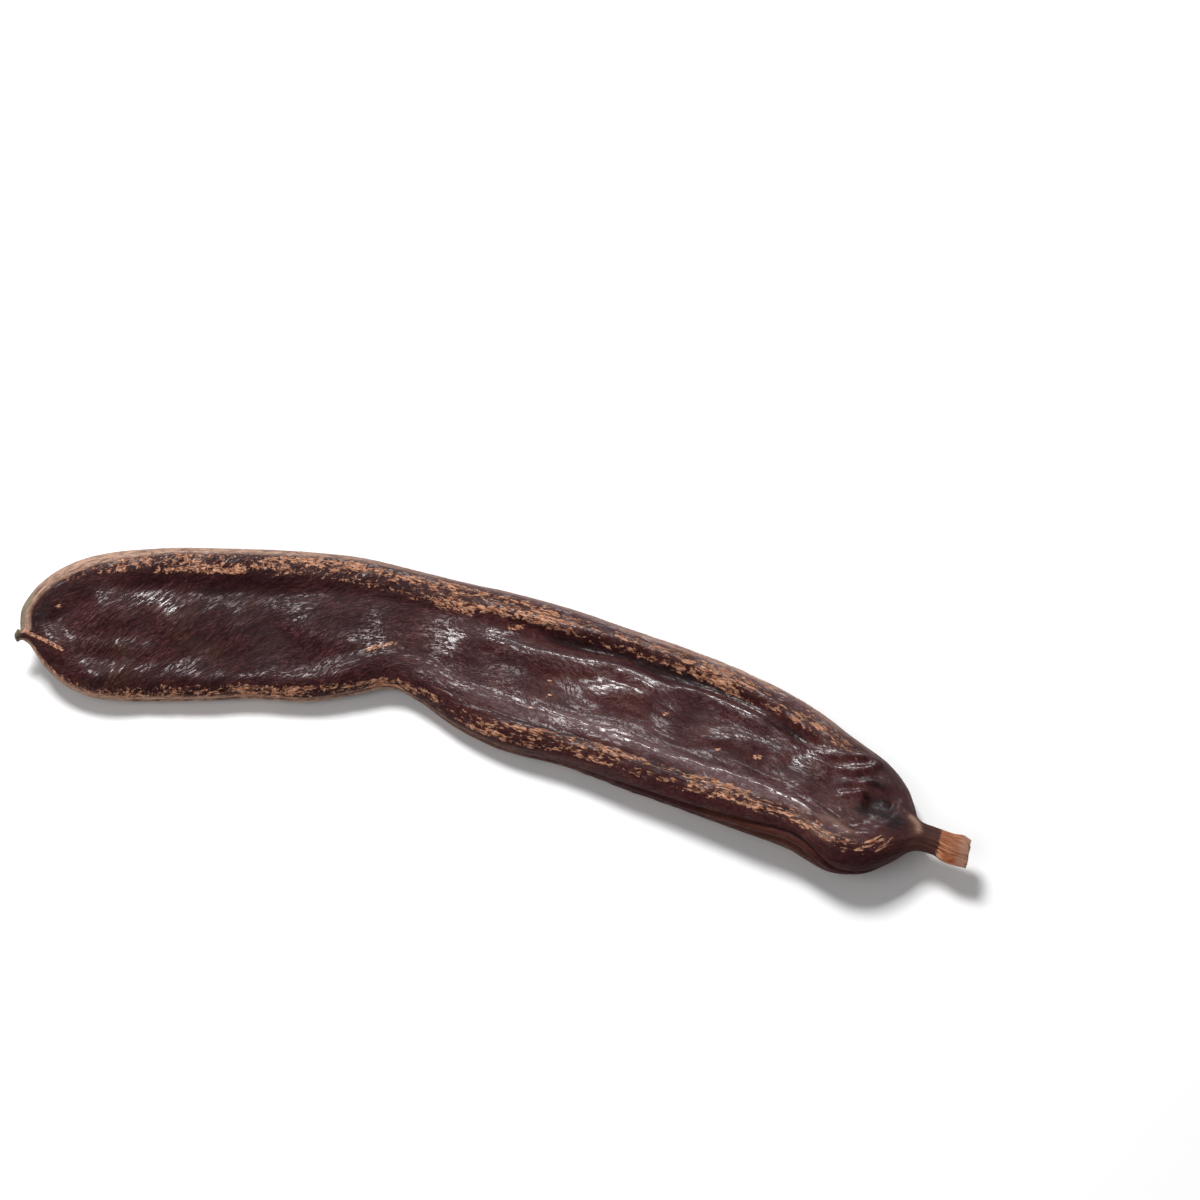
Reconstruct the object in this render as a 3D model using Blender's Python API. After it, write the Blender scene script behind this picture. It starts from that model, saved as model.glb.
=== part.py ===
"""A dry carob pod lying on one valve, with its stalk stub and dry style tip, as one grown piece."""

import math

import bmesh
import bpy
import numpy as np
from mathutils import Vector, noise

# Lengths are millimetres in the pod's plan: x runs from the style tip to the stalk, y towards the
# dorsal edge, z up from the surface that the pod lies on.
MM = 0.001

# The pod's outline, station by station: dorsal x, dorsal y, ventral x, ventral y.
STATIONS = [
    (-89.9, -10.7, -89.4, -13.0),
    (-89.3, -10.8, -88.8, -12.4),
    (-89.8, -9.3, -87.8, -12.6),
    (-90.4, -6.9, -86.9, -13.0),
    (-90.0, -4.4, -85.4, -14.2),
    (-88.7, -1.2, -82.9, -16.1),
    (-86.0, 2.5, -80.0, -17.6),
    (-82.0, 5.8, -76.5, -18.4),
    (-75.8, 8.9, -72.0, -18.4),
    (-66.5, 12.2, -64.5, -16.7),
    (-55.0, 15.2, -54.5, -13.9),
    (-44.0, 18.0, -44.0, -10.8),
    (-34.0, 20.1, -34.0, -8.8),
    (-26.0, 21.0, -26.5, -5.7),
    (-19.0, 21.5, -19.3, -2.3),
    (-12.0, 21.8, -12.8, -3.7),
    (-2.5, 22.3, -5.0, -7.0),
    (8.5, 22.3, 4.5, -9.3),
    (21.0, 21.1, 16.5, -10.0),
    (34.0, 19.9, 29.0, -11.8),
    (47.0, 17.4, 42.5, -13.8),
    (58.3, 14.0, 51.9, -15.3),
    (67.4, 9.4, 60.5, -16.5),
    (75.0, 5.6, 68.8, -19.2),
    (79.5, 1.3, 75.2, -18.1),
    (81.5, -2.3, 79.7, -14.6),
    (82.9, -5.2, 82.6, -11.4),
    (86.0, -6.0, 86.0, -11.1),
    (89.0, -6.5, 88.9, -12.1),
    (92.6, -7.1, 92.6, -12.2),
]

# How the pod is bent, twisted and filled along its length: x, height of its middle surface, twist in
# degrees (ventral edge down is positive), half-thickness at the dorsal rim, the ventral rim, the face.
SPINE = [
    (-92.0, 8.0, 15.0, 2.3, 2.4, 2.1),
    (-84.0, 7.6, 16.0, 2.7, 3.0, 2.4),
    (-70.0, 6.9, 17.0, 3.2, 3.5, 2.8),
    (-50.0, 6.6, 16.0, 3.5, 3.8, 3.0),
    (-30.0, 5.95, 12.0, 3.7, 4.0, 3.0),
    (-10.0, 4.75, 5.0, 3.8, 4.2, 3.0),
    (10.0, 4.25, 0.0, 3.8, 4.4, 3.0),
    (30.0, 4.65, -5.0, 3.8, 4.5, 3.1),
    (50.0, 5.25, -8.0, 3.8, 4.5, 3.1),
    (66.0, 5.9, -10.0, 3.6, 4.5, 3.0),
    (76.0, 6.5, -10.0, 3.3, 4.0, 2.9),
    (84.0, 6.9, -8.0, 2.8, 2.8, 2.6),
    (93.0, 7.0, -6.0, 3.1, 3.1, 3.1),
]

RIM_ROUND = 4.0          # from the outline in to the crest of the rim
RIM_SLOPE = 3.2          # from the crest down to the face
# Flat top of the dorsal rim, which is wider towards the stalk: x, width.
DORSAL_FLAT = [(-92.0, 0.2), (-60.0, 0.5), (-20.0, 1.2), (20.0, 1.8), (60.0, 2.2), (93.0, 1.5)]
VENTRAL_FLAT = 0.4

# Angle of the ventral suture round the rim, towards the upper valve: x, degrees.
SUTURE = [(-92.0, 0.0), (-30.0, 6.0), (-15.0, 0.0), (30.0, -2.0), (42.0, 6.0), (54.0, 24.0),
          (64.0, 27.0), (71.0, -8.0), (84.0, -10.0)]
SUTURE_GROOVE = 0.70     # depth of the main groove
SUTURE_SECOND = 0.45     # depth of the groove on the other side of the suture's low ridge
SUTURE_APART = 26.0      # degrees between the two grooves
SUTURE_WIDE = 8.0        # degrees
DORSAL_SEAM = 0.25       # depth of the fine line along the dorsal edge
DORSAL_SEAM_WIDE = 8.0   # degrees

# Long folds of the upper valve: height (negative for a valley), half-width, points of the line.
UPPER_FOLDS = {
    "valley inside the dorsal rim": (
        -1.20, 1.7, [(-8, 14.2), (9, 14.2), (25, 13.2), (41, 10.8), (50, 8.2), (58, 4.9), (65, 2.6)]),
    "inner ridge of the dorsal rim": (
        0.75, 1.1, [(-12, 17.0), (0, 16.8), (13, 16.3), (26, 16.0), (41, 13.6), (51, 10.4), (60, 6.4),
                    (67, 3.9)]),
    "groove on the dorsal rim": (
        -0.50, 0.9, [(-14, 18.9), (0, 19.0), (20, 18.8), (36, 16.5), (49, 13.3), (60, 9.6),
                     (68, 6.4)]),
    "long glossy ridge": (
        1.15, 2.0, [(-14, 9.4), (-4, 10.8), (3, 9.4), (11, 9.6), (22, 10.4), (31, 8.4), (39, 8.8),
                    (48, 7.2), (54, 5.0), (60, 1.8)]),
    "upper side of the loop": (0.60, 0.8, [(57, 2.8), (65, 2.6), (70, 3.7), (74.8, 3.7)]),
    "lower side of the loop": (0.75, 0.9, [(57, 1.8), (64, 0.2), (68, 0.2), (72, 1.7), (73.8, 4.6)]),
    "pale fold": (0.60, 0.8, [(66, -2.2), (70, -2.0), (73.5, -1.0), (77, -2.4)]),
    "short fold": (0.50, 0.7, [(67, -5.8), (70, -4.4), (73, -2.9)]),
    "hollow before the stalk": (-1.00, 2.0, [(71.5, -5.4), (75.5, -5.2), (78.5, -5.8)]),
    "second glossy ridge": (0.70, 1.7, [(16, 4.0), (24, 5.4), (31, 5.8), (38, 3.2)]),
    "third glossy ridge": (0.70, 1.5, [(40, 1.2), (47, 1.2), (53, 0.9), (58, -1.2)]),
    "hollow along the middle": (
        -0.55, 1.6, [(12, 1.0), (28, 1.0), (40, -2.0), (52, -3.8), (62, -6.0)]),
    "soft ridge beside the ventral rim": (
        0.85, 1.5, [(-13, 1.8), (-2, -0.3), (14, -2.2), (26, -4.2), (39, -6.0), (50, -7.3),
                    (59, -9.2), (65, -10.6), (72, -10.2)]),
    "valley beside the ventral rim": (
        -0.75, 1.0, [(-10, -1.8), (0, -3.4), (14, -4.8), (26, -6.8), (40, -8.4), (51, -9.9),
                     (59, -11.8), (65, -13.4), (72, -13.0)]),
    "ridge from the style": (0.45, 1.8, [(-86, -11.6), (-80, -11.0), (-70, -8.6), (-58, -6.6)]),
    "hollow above the style": (-0.60, 1.7, [(-85, -8.6), (-82, -5.6), (-77, -0.6)]),
    "hollow below the style": (-0.50, 1.4, [(-82, -14.4), (-78.5, -15.6)]),
    "dorsal valley near the tip": (
        -0.60, 1.9, [(-77, -0.6), (-70, 3.0), (-58, 5.6), (-42, 9.6), (-28, 12.8)]),
    "ventral hollow near the tip": (
        -0.50, 1.6, [(-66, -12.4), (-50, -7.6), (-36, -3.8), (-26, -0.6)]),
    "swelling by the ventral rim": (0.60, 1.8, [(-76.5, -14.6), (-73.5, -15.2), (-71, -16.0)]),
    "cross fold near the tip": (0.45, 1.1, [(-71.5, -7.0), (-68.4, -11.0), (-68.6, -15.0)]),
    "low ridge before the notch": (0.40, 1.8, [(-46, 6.0), (-36, 3.0), (-24, 3.6), (-16, 6.0)]),
}

# Long folds of the lower valve.
LOWER_FOLDS = {
    "valley inside the dorsal rim": (
        -0.80, 1.8, [(-70, 3.0), (-48, 7.4), (-26, 12.6), (0, 13.8), (28, 12.8), (50, 7.8),
                     (66, 2.4)]),
    "long ridge": (
        0.75, 2.0, [(-74, -4.0), (-52, -2.0), (-30, 5.4), (-10, 7.6), (14, 5.0), (34, 6.4),
                    (56, 1.6), (70, -3.0)]),
    "valley beside the ventral rim": (
        -0.65, 1.4, [(-70, -12.0), (-46, -5.4), (-22, 1.6), (0, -1.2), (24, -4.0), (46, -7.6),
                     (62, -10.0)]),
    "low ridge": (0.50, 1.4, [(-20, 4.4), (2, 1.8), (26, -0.6), (48, -3.8), (64, -6.2)]),
    "first fold at the stalk": (0.50, 0.9, [(60, 1.4), (70, -1.0), (77, -4.0)]),
    "second fold at the stalk": (0.45, 0.8, [(62, -8.6), (70, -8.4), (77, -7.0)]),
    "hollow before the stalk": (-0.70, 2.0, [(68, -4.8), (75, -5.6)]),
}

# Seeds that lift both valves: x, y of each middle, lift.
SEEDS = [(-77.0, -4.8, 0.75), (-63.0, -2.2, 0.70), (-49.5, 1.4, 0.75), (-36.5, 6.0, 0.70),
         (-23.5, 8.6, 0.65), (-9.0, 6.6, 0.60), (5.5, 7.0, 0.45), (20.0, 7.6, 0.35), (34.5, 5.4, 0.30),
         (48.5, 2.0, 0.30), (61.0, -3.4, 0.25)]
SEED_LONG = 4.6          # half-length across the pod
SEED_WIDE = 3.4          # half-width along the pod

WAVE_HIGH = 0.30         # gentle unevenness all over
WAVE_LONG = 11.0

STALK_FROM = 82.0        # x where the stalk's own form begins
BODY_FADE = 5.0          # length over which the folds run out before the stalk
STYLE_FADE = 8.0         # length over which they run out before the style
STALK_FLUTES = 5
STALK_FLUTE = 0.16       # depth of the fibres' grooves on the stalk
STALK_FLUTE_FADE = 6.0   # length over which the grooves grow to their full depth
STALK_NUB = (91.2, -6.4)
STALK_NUB_HIGH = 0.8
STALK_NUB_WIDE = 1.1
# The torn end's hollow and the style's rounded end: share of the end's radius, how far towards the tip.
TORN_END = [(0.72, 0.15), (0.35, 1.0)]
STYLE_END = [(0.6, 0.35)]
STYLE_POINT = 0.1        # how far the style's last point stands out

STATION_STEP = 2.3       # spacing of the rings along the pod
STATION_LEAST = 2        # rings at least between two stations
ROUND = 60               # points round each ring
RIM_CROWD = 0.15         # how far the points crowd towards the ventral edge
OUTLINE_STEPS = 12       # outline pieces between two stations, for measuring distances to the edge
FOLD_STEPS = 6           # pieces of a fold's line for each of its points
FOLD_FADE = 0.22         # share of a fold's line over which it rises at each end

LEAST_POWER = 4.0        # how closely a rounded smaller length follows the smaller one

SKIN_COLOUR = (0.045, 0.022, 0.019, 1.0)
SKIN_ROUGHNESS = 0.5


def smooth_through(places, values, at):
    """Read a smooth curve through the values, given at rising places, at other places."""
    places = np.asarray(places, dtype=float)
    values = np.asarray(values, dtype=float)
    at = np.clip(at, places[0], places[-1])
    slopes = np.gradient(values, places, axis=0)
    left = np.clip(np.searchsorted(places, at) - 1, 0, len(places) - 2)
    span = places[left + 1] - places[left]
    part = (at - places[left]) / span
    if values.ndim > 1:
        span = span[:, None]
        part = part[:, None]
    ahead = 3 * part**2 - 2 * part**3
    between = values[left] * (1 - ahead) + values[left + 1] * ahead
    leaving = slopes[left] * (part**3 - 2 * part**2 + part)
    arriving = slopes[left + 1] * (part**3 - part**2)
    return between + span * (leaving + arriving)


def column(table, which, at):
    """Read one column of a table smoothly; its first column holds the places."""
    rows = np.array(table)
    return smooth_through(rows[:, 0], rows[:, which], at)


def smooth_step(value):
    """Rise smoothly from 0 to 1 while the value goes from 0 to 1."""
    value = np.clip(value, 0.0, 1.0)
    return value * value * (3.0 - 2.0 * value)


def soft_least(first, second):
    """The smaller of two lengths, rounded where they are alike."""
    return (first**-LEAST_POWER + second**-LEAST_POWER) ** (-1.0 / LEAST_POWER)


def ring_places():
    """Where the rings stand, counted in stations."""
    rows = np.array(STATIONS)
    middles = (rows[:, 0:2] + rows[:, 2:4]) / 2
    lengths = np.linalg.norm(np.diff(middles, axis=0), axis=1)
    places = []
    for number, length in enumerate(lengths):
        count = max(STATION_LEAST, round(length / STATION_STEP))
        places.extend(number + np.arange(count) / count)
    places.append(len(STATIONS) - 1)
    return np.array(places, dtype=float)


def edge_points(places):
    """The dorsal and the ventral edge in plan at the given places along the stations."""
    rows = smooth_through(range(len(STATIONS)), STATIONS, places)
    return rows[:, 0:2], rows[:, 2:4]


def way_to_line(points, line):
    """The shortest way in plan from each point to a line, and the share of the line where it ends."""
    starts = line[:-1]
    runs = line[1:] - starts
    squares = (runs**2).sum(axis=1)
    away = points[:, None, :] - starts[None, :, :]
    part = np.clip((away * runs).sum(axis=2) / squares, 0.0, 1.0)
    gaps = away - part[:, :, None] * runs
    distances = np.sqrt((gaps**2).sum(axis=2))
    rows = np.arange(len(points))
    nearest = distances.argmin(axis=1)
    share = (nearest + part[rows, nearest]) / len(runs)
    return distances[rows, nearest], share


def line_through(points):
    """A finely divided smooth line through a fold's points."""
    count = len(points)
    return smooth_through(range(count), points, np.linspace(0, count - 1, FOLD_STEPS * count))


def fold_relief(points, folds):
    """How far a valve's folds lift or lower each point in plan."""
    relief = np.zeros(len(points))
    for height, width, line in folds.values():
        away, share = way_to_line(points, line_through(line))
        risen = smooth_step(share / FOLD_FADE) * smooth_step((1.0 - share) / FOLD_FADE)
        relief += height * risen * np.exp(-((away / width) ** 2))
    return relief


def seed_relief(points):
    """How far the seeds lift each point in plan."""
    relief = np.zeros(len(points))
    for x, y, lift in SEEDS:
        along = (points[:, 0] - x) / SEED_WIDE
        across = (points[:, 1] - y) / SEED_LONG
        relief += lift * np.exp(-(along**2) - across**2)
    return relief


def wave_relief(positions):
    """Gentle unevenness that differs from place to place and between the valves."""
    values = [noise.noise(Vector(position) / WAVE_LONG) for position in positions]
    return WAVE_HIGH * np.array(values)


def groove(angle, middle, width):
    """A groove's share of its full depth at each angle round a rim."""
    return np.exp(-(((angle - middle) / width) ** 2))


def suture_relief(angle, x):
    """The double groove along the ventral edge, by the angle round the rim in degrees."""
    middle = column(SUTURE, 1, x)
    main = SUTURE_GROOVE * groove(angle, middle, SUTURE_WIDE)
    second = SUTURE_SECOND * groove(angle, middle - SUTURE_APART, SUTURE_WIDE)
    return -(main + second)


def stalk_relief(angle, x):
    """Fibres along the stalk, deeper towards the torn end."""
    flutes = np.cos(STALK_FLUTES * angle)
    return STALK_FLUTE * flutes * smooth_step((x - STALK_FROM) / STALK_FLUTE_FADE)


def nub_relief(points, upper):
    """The broken nub on top of the stalk's flare."""
    away = np.linalg.norm(points - np.array(STALK_NUB), axis=1)
    return STALK_NUB_HIGH * np.exp(-((away / STALK_NUB_WIDE) ** 2)) * upper


def half_thickness(edge_away, across, half_width, x):
    """The valve's height over the middle surface: a round rim, its slope and the sunken face."""
    dorsal = smooth_step((across + 1.0) / 2.0)
    rim = column(SPINE, 4, x) * (1 - dorsal) + column(SPINE, 3, x) * dorsal
    flat = VENTRAL_FLAT * (1 - dorsal) + column(DORSAL_FLAT, 1, x) * dorsal
    rim = soft_least(rim, half_width)
    face = np.minimum(column(SPINE, 5, x), rim)
    inward = soft_least(RIM_ROUND, half_width)
    turned = np.clip(1.0 - edge_away / inward, 0.0, 1.0)
    on_rim = rim * np.sqrt(1.0 - turned**2)
    sunk = smooth_step((edge_away - inward - flat) / RIM_SLOPE)
    return on_rim - (rim - face) * sunk, np.degrees(np.arccos(turned))


def ring_grid(places):
    """The pod's surface before its fine relief, as rings of points, with what the relief needs."""
    dorsal, ventral = edge_points(places)
    centre = (dorsal + ventral) / 2
    reach = (dorsal - ventral) / 2
    turn = 2 * math.pi * np.arange(ROUND) / ROUND
    turn = turn - RIM_CROWD * np.sin(turn)
    across = np.tile(-np.cos(turn), (len(places), 1))
    side = np.sign(np.round(np.sin(turn), 6))
    plan = centre[:, None, :] + across[:, :, None] * reach[:, None, :]
    flat_plan = plan.reshape(-1, 2)
    x = np.clip(flat_plan[:, 0], SPINE[0][0], SPINE[-1][0])
    steps = np.linspace(0, len(STATIONS) - 1, OUTLINE_STEPS * (len(STATIONS) - 1) + 1)
    dorsal_line, ventral_line = edge_points(steps)
    to_dorsal, _ = way_to_line(flat_plan, dorsal_line)
    to_ventral, _ = way_to_line(flat_plan, ventral_line)
    edge_away = np.minimum(to_dorsal, to_ventral)
    half_width = np.repeat(np.linalg.norm(reach, axis=1), ROUND)
    height, angle = half_thickness(edge_away, across.reshape(-1), half_width, x)
    sides = np.tile(side, len(places))
    height = height * sides
    station_x = np.clip(centre[:, 0], SPINE[0][0], SPINE[-1][0])
    twist = np.repeat(np.radians(column(SPINE, 2, station_x)), ROUND)
    middle = np.repeat(column(SPINE, 1, station_x), ROUND)
    aside = flat_plan[:, 1] - np.repeat(centre[:, 1], ROUND)
    positions = np.empty((len(flat_plan), 3))
    positions[:, 0] = flat_plan[:, 0]
    positions[:, 1] = flat_plan[:, 1] - np.sin(twist) * height
    positions[:, 2] = middle + np.tan(twist) * aside + np.cos(twist) * height
    return positions, flat_plan, x, sides, angle * sides, to_ventral <= to_dorsal


def outward_directions(positions, rings):
    """The outward direction of the grid's surface at each point."""
    grid = positions.reshape(rings, ROUND, 3)
    along = np.gradient(grid, axis=0)
    round_way = np.roll(grid, -1, axis=1) - np.roll(grid, 1, axis=1)
    directions = np.cross(round_way, along).reshape(-1, 3)
    directions /= np.linalg.norm(directions, axis=1)[:, None]
    from_ring_middle = (grid - grid.mean(axis=1, keepdims=True)).reshape(-1, 3)
    inward = (directions * from_ring_middle).sum() < 0
    return -directions if inward else directions


def full_relief(positions, plan, x, sides, angle, on_ventral):
    """All the relief of the surface, in millimetres outward."""
    upper = sides > 0
    body = 1.0 - smooth_step((x - STALK_FROM + BODY_FADE) / BODY_FADE)
    body *= smooth_step((x - STATIONS[2][0]) / STYLE_FADE)
    folds = np.where(upper, fold_relief(plan, UPPER_FOLDS), fold_relief(plan, LOWER_FOLDS))
    on_face = np.abs(np.sin(np.radians(angle)))
    relief = (folds + seed_relief(plan) + wave_relief(positions)) * body * on_face
    seam = -DORSAL_SEAM * groove(angle, 0.0, DORSAL_SEAM_WIDE)
    relief += np.where(on_ventral, suture_relief(angle, x), seam) * body
    around = np.radians(np.where(on_ventral, angle, 180.0 - angle))
    relief += stalk_relief(around, x)
    relief += nub_relief(plan, upper)
    return relief


def pod_points(places):
    """The finished rings of points, flattened where the pod rests on the surface."""
    positions, plan, x, sides, angle, on_ventral = ring_grid(places)
    relief = full_relief(positions, plan, x, sides, angle, on_ventral)
    positions = positions + outward_directions(positions, len(places)) * relief[:, None]
    positions[:, 2] = np.maximum(positions[:, 2], 0.0)
    return positions


def cap_points(ring, steps):
    """Smaller copies of an end ring, set in along x, that close the pod's end."""
    middle = ring.mean(axis=0)
    rings = []
    for share, depth in steps:
        smaller = middle + (ring - middle) * share
        smaller[:, 0] -= depth
        rings.append(smaller)
    return rings


def skin_between(mesh, first, second):
    """Join two rings of the same number of points by a band of faces."""
    count = len(first)
    for number in range(count):
        following = (number + 1) % count
        mesh.faces.new((first[number], first[following], second[following], second[number]))


def fan(mesh, ring, tip):
    """Close a ring of points by triangles to one point."""
    for number, point in enumerate(ring):
        mesh.faces.new((point, ring[(number + 1) % len(ring)], tip))


def pod_mesh():
    """Build the pod's closed mesh in metres, with its origin below the middle of its box."""
    places = ring_places()
    grid = pod_points(places).reshape(len(places), ROUND, 3)
    rings = cap_points(grid[0], STYLE_END) + list(grid) + cap_points(grid[-1], TORN_END)
    style_tip = rings[0].mean(axis=0) - np.array((STYLE_POINT, 0.0, 0.0))
    torn_middle = rings[-1].mean(axis=0)
    every = np.vstack(rings)
    origin = (every.max(axis=0) + every.min(axis=0)) / 2
    origin[2] = 0.0
    mesh = bmesh.new()
    layers = [[mesh.verts.new((point - origin) * MM) for point in ring] for ring in rings]
    for first, second in zip(layers, layers[1:]):
        skin_between(mesh, first, second)
    fan(mesh, layers[0], mesh.verts.new((style_tip - origin) * MM))
    fan(mesh, layers[-1], mesh.verts.new((torn_middle - origin) * MM))
    bmesh.ops.recalc_face_normals(mesh, faces=mesh.faces)
    bmesh.ops.triangulate(mesh, faces=mesh.faces)
    return mesh


def skin_material():
    """The pod's dark brown, slightly glossy skin."""
    material = bpy.data.materials.new("pod_skin")
    material.use_nodes = True
    shader = material.node_tree.nodes["Principled BSDF"]
    shader.inputs["Base Color"].default_value = SKIN_COLOUR
    shader.inputs["Roughness"].default_value = SKIN_ROUGHNESS
    shader.inputs["Metallic"].default_value = 0.0
    return material


def make_pod():
    """Add the pod to the scene as one object."""
    built = pod_mesh()
    data = bpy.data.meshes.new("pod")
    built.to_mesh(data)
    built.free()
    data.materials.append(skin_material())
    data.shade_smooth()
    pod = bpy.data.objects.new("pod", data)
    bpy.context.scene.collection.objects.link(pod)


for old in list(bpy.data.objects):
    bpy.data.objects.remove(old, do_unlink=True)
make_pod()
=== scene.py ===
"""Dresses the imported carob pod: its finely wrinkled skin, a pale studio and the camera."""

import logging
import math
from dataclasses import dataclass
from enum import Enum
from typing import NamedTuple

import bpy
import numpy as np
from mathutils import Matrix, Vector, noise


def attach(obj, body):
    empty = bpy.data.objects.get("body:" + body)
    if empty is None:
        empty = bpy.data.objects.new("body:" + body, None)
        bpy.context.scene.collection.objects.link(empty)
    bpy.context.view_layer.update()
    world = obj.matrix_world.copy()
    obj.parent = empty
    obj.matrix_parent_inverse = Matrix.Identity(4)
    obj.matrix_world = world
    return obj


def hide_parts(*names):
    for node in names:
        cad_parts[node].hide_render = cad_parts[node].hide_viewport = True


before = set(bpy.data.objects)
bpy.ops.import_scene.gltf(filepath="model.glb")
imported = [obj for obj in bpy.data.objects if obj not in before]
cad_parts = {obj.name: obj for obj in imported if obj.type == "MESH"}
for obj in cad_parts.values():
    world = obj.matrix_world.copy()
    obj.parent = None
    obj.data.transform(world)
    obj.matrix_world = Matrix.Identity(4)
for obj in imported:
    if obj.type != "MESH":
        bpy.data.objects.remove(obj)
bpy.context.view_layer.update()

LOG = logging.getLogger("carob_pod")
Array = np.ndarray
Row = tuple[float, ...]
Colour = tuple[float, float, float, float]

# The pod's sizes are millimetres in plan: x runs from the style tip to the stalk, y towards the dorsal
# edge, z up from the surface that the pod lies on.
MM = 0.001
PLAN_ORIGIN = (1.11425, 1.57064, 0.0)
UV_NAME = "OFBake"
POINTS_AT_ONCE = 6000


class Valve(Enum):
    """The two halves of the pod's wall, by the sign that their points carry."""

    UPPER = 1
    LOWER = -1


class Reach(Enum):
    """What a soft box lights: the plain colour and the gloss of the skin, or one of them."""

    ALL = "all"
    COLOUR = "colour"
    GLOSS = "gloss"


class Fold(NamedTuple):
    """A long ridge or valley: its height, half-width and the points of its line in plan."""

    height: float
    width: float
    points: tuple[Row, ...]


class Stroke(NamedTuple):
    """A mark or low crest on the upper valve: its strength or height, half-width and line in plan."""

    strength: float
    width: float
    points: tuple[Row, ...]


class Ripple(NamedTuple):
    """Uneven relief: its height, the size of its humps, one or one for each direction, and its seed."""

    high: float
    size: Row | float
    seed: float


class Grain(NamedTuple):
    """A noise's look: its scale each way, its detail, its roughness and how far it's bent."""

    scale: Row
    detail: float = 2.0
    roughness: float = 0.5
    distortion: float = 0.0


class SoftBox(NamedTuple):
    """A lamp: degrees round the pod and above the floor, metres away, size in metres, watts, reach."""

    name: str
    azimuth: float
    elevation: float
    distance: float
    size: Row
    power: float
    reach: Reach


def smooth_step(value: Array) -> Array:
    """Rise smoothly from 0 to 1 while the value goes from 0 to 1.

    Args:
        value: The values to ease.

    Returns:
        The eased values.
    """
    value = np.clip(value, 0.0, 1.0)
    return value * value * (3.0 - 2.0 * value)


def smooth_through(places: Array, values: Array, at: Array) -> Array:
    """Read a smooth curve through values that are given at rising places.

    Args:
        places: Where the values stand.
        values: One value or one row of values for each place.
        at: The places to read.

    Returns:
        The curve's values at those places.
    """
    places = np.asarray(places, dtype=float)
    values = np.asarray(values, dtype=float)
    at = np.clip(at, places[0], places[-1])
    slopes = np.gradient(values, places, axis=0)
    left = np.clip(np.searchsorted(places, at) - 1, 0, len(places) - 2)
    span = places[left + 1] - places[left]
    part = (at - places[left]) / span
    if values.ndim > 1:
        span = span[:, None]
        part = part[:, None]
    ahead = 3 * part**2 - 2 * part**3
    between = values[left] * (1 - ahead) + values[left + 1] * ahead
    leaving = slopes[left] * (part**3 - 2 * part**2 + part)
    arriving = slopes[left + 1] * (part**3 - part**2)
    return between + span * (leaving + arriving)


def column(table: tuple[Row, ...], which: int, at: Array) -> Array:
    """Read one column of a table smoothly.

    Args:
        table: Rows whose first value is their place.
        which: The column's number.
        at: The places to read.

    Returns:
        The column's values at those places.
    """
    rows = np.array(table, dtype=float)
    return smooth_through(rows[:, 0], rows[:, which], at)


def soft_least(first: Array, second: Array) -> Array:
    """Take the smaller of two lengths, rounded where they are alike.

    Args:
        first: The first lengths.
        second: The second lengths.

    Returns:
        The smaller lengths.
    """
    return (first**-4.0 + second**-4.0) ** -0.25


def way_to_line(points: Array, line: Array) -> tuple[Array, Array]:
    """Find the shortest way in plan from each point to a line, and where on the line it ends.

    Args:
        points: Points in plan.
        line: The line's points, close together.

    Returns:
        The distances, and the shares of the line's pieces, from 0 to 1, at the nearest places.
    """
    starts = line[:-1]
    runs = line[1:] - starts
    squares = (runs**2).sum(axis=1)
    distances = np.empty(len(points))
    shares = np.empty(len(points))
    for first in range(0, len(points), POINTS_AT_ONCE):
        block = points[first:first + POINTS_AT_ONCE]
        away = block[:, None, :] - starts
        part = np.clip((away * runs).sum(axis=2) / squares, 0.0, 1.0)
        gaps = away - part[:, :, None] * runs
        lengths = np.sqrt((gaps**2).sum(axis=2))
        nearest = lengths.argmin(axis=1)
        rows = np.arange(len(block))
        distances[first:first + POINTS_AT_ONCE] = lengths[rows, nearest]
        shares[first:first + POINTS_AT_ONCE] = (nearest + part[rows, nearest]) / len(runs)
    return distances, shares


def line_through(points: tuple[Row, ...], steps: int = 6) -> Array:
    """Divide a smooth line through a few points finely.

    Args:
        points: The line's own points.
        steps: Pieces for each point.

    Returns:
        The line's points.
    """
    count = len(points)
    return smooth_through(range(count), points, np.linspace(0, count - 1, steps * count))


def near_line(points: Array, line: Array, reach: float) -> Array:
    """Pick the points that may lie within reach of a line.

    Args:
        points: Points in plan.
        line: The line's points.
        reach: The distance that matters.

    Returns:
        The numbers of those points.
    """
    low = line.min(axis=0) - reach
    high = line.max(axis=0) + reach
    return np.nonzero(((points > low) & (points < high)).all(axis=1))[0]


def noise_at(points: Array, size: Row | float, seed: float) -> Array:
    """Read smooth noise, between about -1 and 1, at each point.

    Args:
        points: Points in millimetres.
        size: The size of the noise's humps, or one size for each direction.
        seed: A shift that makes the noise another one.

    Returns:
        The noise.
    """
    scaled = points / np.asarray(size) + seed
    return np.array([noise.noise(row) for row in scaled.tolist()])


def uneven(points: Array, ripple: Ripple) -> Array:
    """Read a ripple's relief at each point.

    Args:
        points: Points in millimetres.
        ripple: The ripple.

    Returns:
        Millimetres outward.
    """
    return ripple.high * noise_at(points, ripple.size, ripple.seed)


def window(value: Array, middle: Array, half: Array, soft: float) -> Array:
    """Be 1 within a stretch and fall softly to 0 outside it.

    Args:
        value: The places.
        middle: The stretch's middle.
        half: Its half-length, out to where the window has fallen to a half.
        soft: The length over which it falls.

    Returns:
        The window's height at each place.
    """
    return smooth_step((half - np.abs(value - middle)) / soft + 0.5)


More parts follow.
